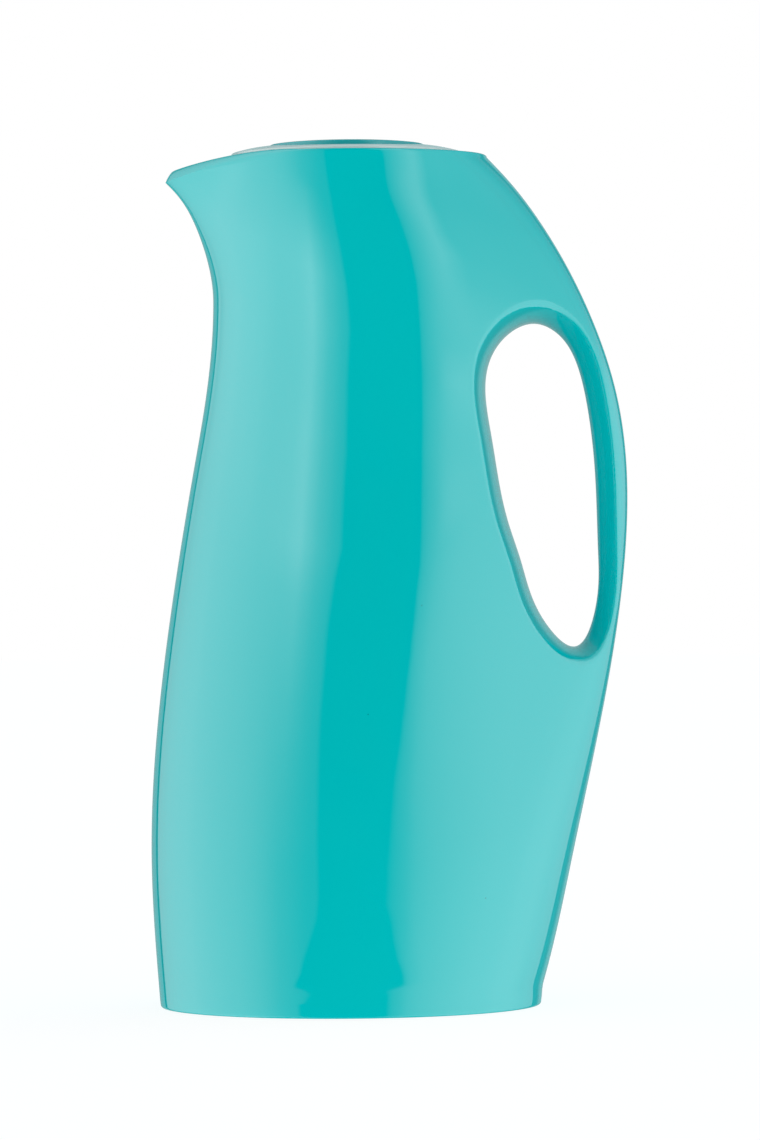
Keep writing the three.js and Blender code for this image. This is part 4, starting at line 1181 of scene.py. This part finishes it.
# Degrees to the right of the camera, and the strength of the light there, low down and half way up
LOW_LIGHT = [
    (-180, 0.8), (-135, 0.8), (-124, 1.2), (-110, 1.85), (-98, 2.4), (-86, 2.6), (-76, 2.6), (-63, 2.45),
    (-53, 2.05), (-46, 1.6), (-38, 1.0), (-29, 0.6), (-25, 0.43), (-22, 0.34), (-14, 0.28), (15, 0.2),
    (17, 0.34), (19, 0.52), (22, 0.76), (26, 1.05), (30, 1.5), (37, 2.0), (48, 2.45), (60, 2.77),
    (68, 2.85), (88, 2.6), (100, 2.1), (114, 1.3), (128, 0.8), (180, 0.6),
]
HIGH_LIGHT = [
    (-180, 0.9), (-128, 1.0), (-119, 1.65), (-106, 2.4), (-100, 2.75), (-92, 3.0), (-82, 3.25), (-72, 3.3),
    (-60, 3.1), (-52, 3.15), (-44, 3.3), (-39, 3.7), (-36, 3.8), (-33, 3.0), (-30, 2.4), (-27, 1.7),
    (-23, 1.2), (-19.5, 0.74), (-17, 0.55), (-14, 0.4), (15, 0.2), (20, 0.5), (26, 1.0), (30, 1.5),
    (37, 2.0), (44, 2.3), (68, 2.85), (88, 2.6), (100, 2.1), (128, 0.8), (180, 0.6),
]
# Height on the wall, and the share of the second list there
HIGH_SHARE = [
    (0.04, 0), (0.09, 0.08), (0.13, 0.15), (0.17, 0.28), (0.2, 0.42), (0.226, 0.58), (0.242, 0.85),
    (0.25, 1), (0.265, 1), (0.275, 0.6), (0.282, 0.3), (0.29, 0), (0.4, 0),
]
# Height on the wall, and the degrees from the camera to the dark part's edges. Near the floor they step in
# and out, because the table's own gloss shows there.
LEFT_EDGE = [
    (-0.0535, 27), (-0.052, 26.5), (-0.051, 24), (-0.0503, 20.5), (-0.0495, 20), (-0.048, 24.5),
    (-0.0462, 29.3), (-0.044, 28.2), (-0.04, 25.8), (-0.0316, 24), (-0.0196, 20.2), (-0.0062, 17.1),
    (0.01, 16.2), (0.06, 17.2), (0.15, 18.1), (0.21, 17.6), (0.235, 16), (0.25, 13.6), (0.265, 14.2),
    (0.28, 16), (0.29, 17.2), (0.4, 17.2),
]
RIGHT_EDGE = [
    (-0.054, 19), (-0.053, 20), (-0.0522, 17), (-0.0515, 20), (-0.0508, 27.2), (-0.0496, 27),
    (-0.0461, 26.2), (-0.0393, 23.2), (-0.0283, 20.5), (-0.015, 18.4), (-0.003, 15.5), (0.03, 15.2),
    (0.056, 16.4), (0.08, 17.3), (0.102, 18.6), (0.14, 22.3), (0.173, 25.4), (0.204, 28.2), (0.22, 30.4),
    (0.235, 31), (0.26, 31.7), (0.284, 32.2), (0.307, 30.8), (0.334, 28.4), (0.352, 26.5), (0.37, 23),
    (0.4, 20),
]
# Degrees past the dark part's edge, and the share of the light that shows: on the left, and low and high on
# the right
SOFT_EDGE = [(0, 0), (2.5, 1)]
SHARP_EDGE = [(0, 0), (1, 0.3), (2.5, 0.65), (4, 0.8), (8, 0.9), (12, 1)]
SLOW_EDGE = [(0, 0), (1, 0.19), (3, 0.36), (5.3, 0.46), (10, 0.62), (16, 0.82), (23, 1)]
SLOW_SHARE = [(0.17, 0), (0.24, 1)]
# The brightest line on the right: its place by height, its gain, and what the light loses beyond it
CREST_PLACE = [(0.24, 50), (0.29, 51.5), (0.32, 54), (0.345, 51.5), (0.37, 51.5), (0.39, 50)]
CREST_GAIN = [(0.222, 0), (0.232, 0.5), (0.24, 0.8), (0.247, 0.5), (0.256, 0)]
CREST_FALL = [(0, 1), (3, 0.8), (8, 0)]
FLANK_LOSS = [(0.25, 0), (0.275, 0.15), (0.3, 0.38), (0.325, 0.48), (0.39, 0.58), (0.6, 0.5), (0.9, 0.3)]
FLANK_RISE = [(0, 0), (8, 1)]
# Where the light ends behind the jug, in degrees: at one angle on the left, by height on the right
LEFT_END = 137
RIGHT_END = [(0.05, 133), (0.22, 133), (0.36, 139), (0.39, 144)]
# Degrees past that end: the light stops, a dark gap follows, and then the dim, blue-green back of the studio
END_FALL = [(-1, 1), (0, 0)]
LEFT_BACK = [(2.5, 0), (4, 0.48)]
RIGHT_BACK = [(0, 0), (1, 0.15), (9, 0.17), (15, 0.5)]
BACK_COLOUR = (0.65, 1, 1)
WHITE = (1, 1, 1)
print("light from", len(LOW_LIGHT), "directions low down and", len(HIGH_LIGHT), "higher up")


# %% Arithmetic in a node tree
class Amount:
    """A value in a node tree that can be reckoned with like a number."""

    def __init__(self, tree, socket):
        self.tree = tree
        self.socket = socket

    def step(self, operation, *values):
        """One step of arithmetic on amounts or numbers."""
        node = add(self.tree, "Math", dict(enumerate(values)), operation=operation)
        return Amount(self.tree, node.outputs["Value"])

    def __add__(self, other):
        return self.step("ADD", self, other)

    def __sub__(self, other):
        return self.step("SUBTRACT", self, other)

    def __rsub__(self, other):
        return self.step("SUBTRACT", other, self)

    def __mul__(self, other):
        return self.step("MULTIPLY", self, other)

    def most(self, other):
        return self.step("MAXIMUM", self, other)

    def follow(self, points):
        """A value that runs straight from point to point, each given as position and value."""
        first, last = points[0][0], points[-1][0]
        peak = max(point[1] for point in points)
        spread = add(self.tree, "MapRange", {"From Min": first, "From Max": last, "Value": self})
        band = add(self.tree, "ValToRGB", {"Fac": spread.outputs["Result"]})
        while len(band.color_ramp.elements) < len(points):
            band.color_ramp.elements.new(0.5)
        for element, (position, amount) in zip(band.color_ramp.elements, points):
            element.position = (position - first) / (last - first)
            element.color = (amount / peak, amount / peak, amount / peak, 1)
        return Amount(self.tree, band.outputs["Color"]) * peak


def axes(tree, coordinates):
    """The three parts of a place, as amounts."""
    place = add(tree, "TexCoord").outputs[coordinates]
    split = add(tree, "SeparateXYZ", {"Vector": place})
    return [Amount(tree, split.outputs[axis]) for axis in "XYZ"]


# %% Wall of light
light_wall = plain_solid(
    bpy.ops.mesh.primitive_cylinder_add, vertices=128, radius=WALL_RADIUS, depth=WALL_TOP - WALL_UNDER,
    end_fill_type="NOTHING", location=(0, 0, (WALL_TOP + WALL_UNDER) / 2),
)
light_wall.name = "light_wall"
material, tree = new_material("wall of light")
tree.nodes.remove(tree.nodes["Principled BSDF"])
rightward, backward, height = axes(tree, "Object")
around = height.step("DEGREES", height.step("ARCTAN2", rightward, backward * -1))
leftward = around * -1
low = around.follow(LOW_LIGHT)
strength = low + (around.follow(HIGH_LIGHT) - low) * height.follow(HIGH_SHARE)
left_share = (leftward - height.follow(LEFT_EDGE)).follow(SOFT_EDGE)
past_right = around - height.follow(RIGHT_EDGE)
sharp = past_right.follow(SHARP_EDGE)
slower = (past_right.follow(SLOW_EDGE) - sharp) * height.follow(SLOW_SHARE)
past_crest = around - height.follow(CREST_PLACE)
loss = height.follow(FLANK_LOSS) * past_crest.follow(FLANK_RISE)
right_share = (sharp + slower) * (1 - loss)
boxes = strength * left_share.most(right_share)
crest = height.follow(CREST_GAIN) * height.step("ABSOLUTE", past_crest).follow(CREST_FALL)
behind_left = leftward - LEFT_END
behind_right = around - height.follow(RIGHT_END)
in_front = behind_left.most(behind_right).follow(END_FALL)
back = behind_left.follow(LEFT_BACK).most(behind_right.follow(RIGHT_BACK))
shine = add(tree, "Emission", {
    "Strength": (boxes + crest) * in_front + back,
    "Color": two_tone(tree, in_front, BACK_COLOUR, WHITE),
})
feed(tree, tree.nodes["Material Output"], {"Surface": shine.outputs["Emission"]})
give(material, light_wall)
light_wall.visible_camera = False
light_wall.visible_diffuse = False
light_wall.visible_transmission = False
light_wall.visible_shadow = False
print("wall of light with", len(tree.nodes), "nodes")

# %% [markdown]
# ## Floor and backdrop
# The floor is white, and the camera sees most of it as pure white. The rest is its own matt surface, which
# keeps a soft shadow under the jug. The backdrop is white for the camera, and dim for reflections that pass
# the wall of light. Its fill light is weaker overhead than all round, blue-green from behind and strongest
# from the right rear, where it lights the hand hole. The floor shows from above only, so that the base can be
# seen from below.

# %% Floor and backdrop
# The floor lies a hair under the foot, so that their faces aren't in one plane
FLOOR_GAP = 0.05
FLOOR_SIZE = 16
FLOOR_SHADOW = 0.22
FLOOR_COLOUR = 0.9
FLOOR_ROUGHNESS = 0.9
FILL = 1.58
OVERHEAD_LOSS = 0.8
FLOOR_LIGHT = FILL * (1 - OVERHEAD_LOSS * 2 / 3)
FLOOR_WHITE = (1 - FLOOR_SHADOW * FLOOR_COLOUR * FLOOR_LIGHT) / (1 - FLOOR_SHADOW)
BACK_TINT = (0.45, 0.94, 1.2)
BACK_GAIN = 2.2
DIM = 0.35

deselect_all()
bpy.ops.mesh.primitive_plane_add(size=FLOOR_SIZE, location=(0, 0, -FLOOR_GAP * MM))
floor = bpy.context.object
floor.name = "floor"
material, tree = new_material("floor white")
matt = tree.nodes["Principled BSDF"]
feed(tree, matt, {
    "Base Color": (FLOOR_COLOUR, FLOOR_COLOUR, FLOOR_COLOUR, 1),
    "Roughness": FLOOR_ROUGHNESS,
    "Specular IOR Level": 0.0,
})
path = add(tree, "LightPath").outputs
white = add(tree, "Emission", {"Strength": FLOOR_WHITE})
seen = Amount(tree, path["Is Camera Ray"]) * (1 - FLOOR_SHADOW) + Amount(tree, path["Is Diffuse Ray"])
mix = add(tree, "MixShader", {"Fac": seen, 1: matt.outputs["BSDF"], 2: white.outputs["Emission"]})
side = add(tree, "NewGeometry").outputs["Backfacing"]
clear = add(tree, "BsdfTransparent")
one_sided = add(tree, "MixShader", {"Fac": side, 1: mix.outputs["Shader"], 2: clear.outputs["BSDF"]})
feed(tree, tree.nodes["Material Output"], {"Surface": one_sided.outputs["Shader"]})
give(material, floor)
floor.visible_glossy = False

world = bpy.context.scene.world or bpy.data.worlds.new("studio")
bpy.context.scene.world = world
world.use_nodes = True
tree = world.node_tree
tree.nodes.clear()
path = add(tree, "LightPath").outputs
straight = Amount(tree, path["Is Camera Ray"]).most(Amount(tree, path["Is Transmission Ray"]))
sideways, backward, overhead = (part.most(0) for part in axes(tree, "Generated"))
fill = FILL - overhead * (FILL * OVERHEAD_LOSS) + backward * sideways * BACK_GAIN
gloss = Amount(tree, path["Is Glossy Ray"]) * (DIM - fill)
dim = add(tree, "Background", {
    "Strength": fill + gloss,
    "Color": two_tone(tree, backward, WHITE, BACK_TINT),
})
white = add(tree, "Background", {"Color": (*WHITE, 1), "Strength": 1.0})
mix = add(tree, "MixShader", {
    "Fac": straight,
    1: dim.outputs["Background"],
    2: white.outputs["Background"],
})
add(tree, "OutputWorld", {"Surface": mix.outputs["Shader"]})
print("floor and backdrop ready")
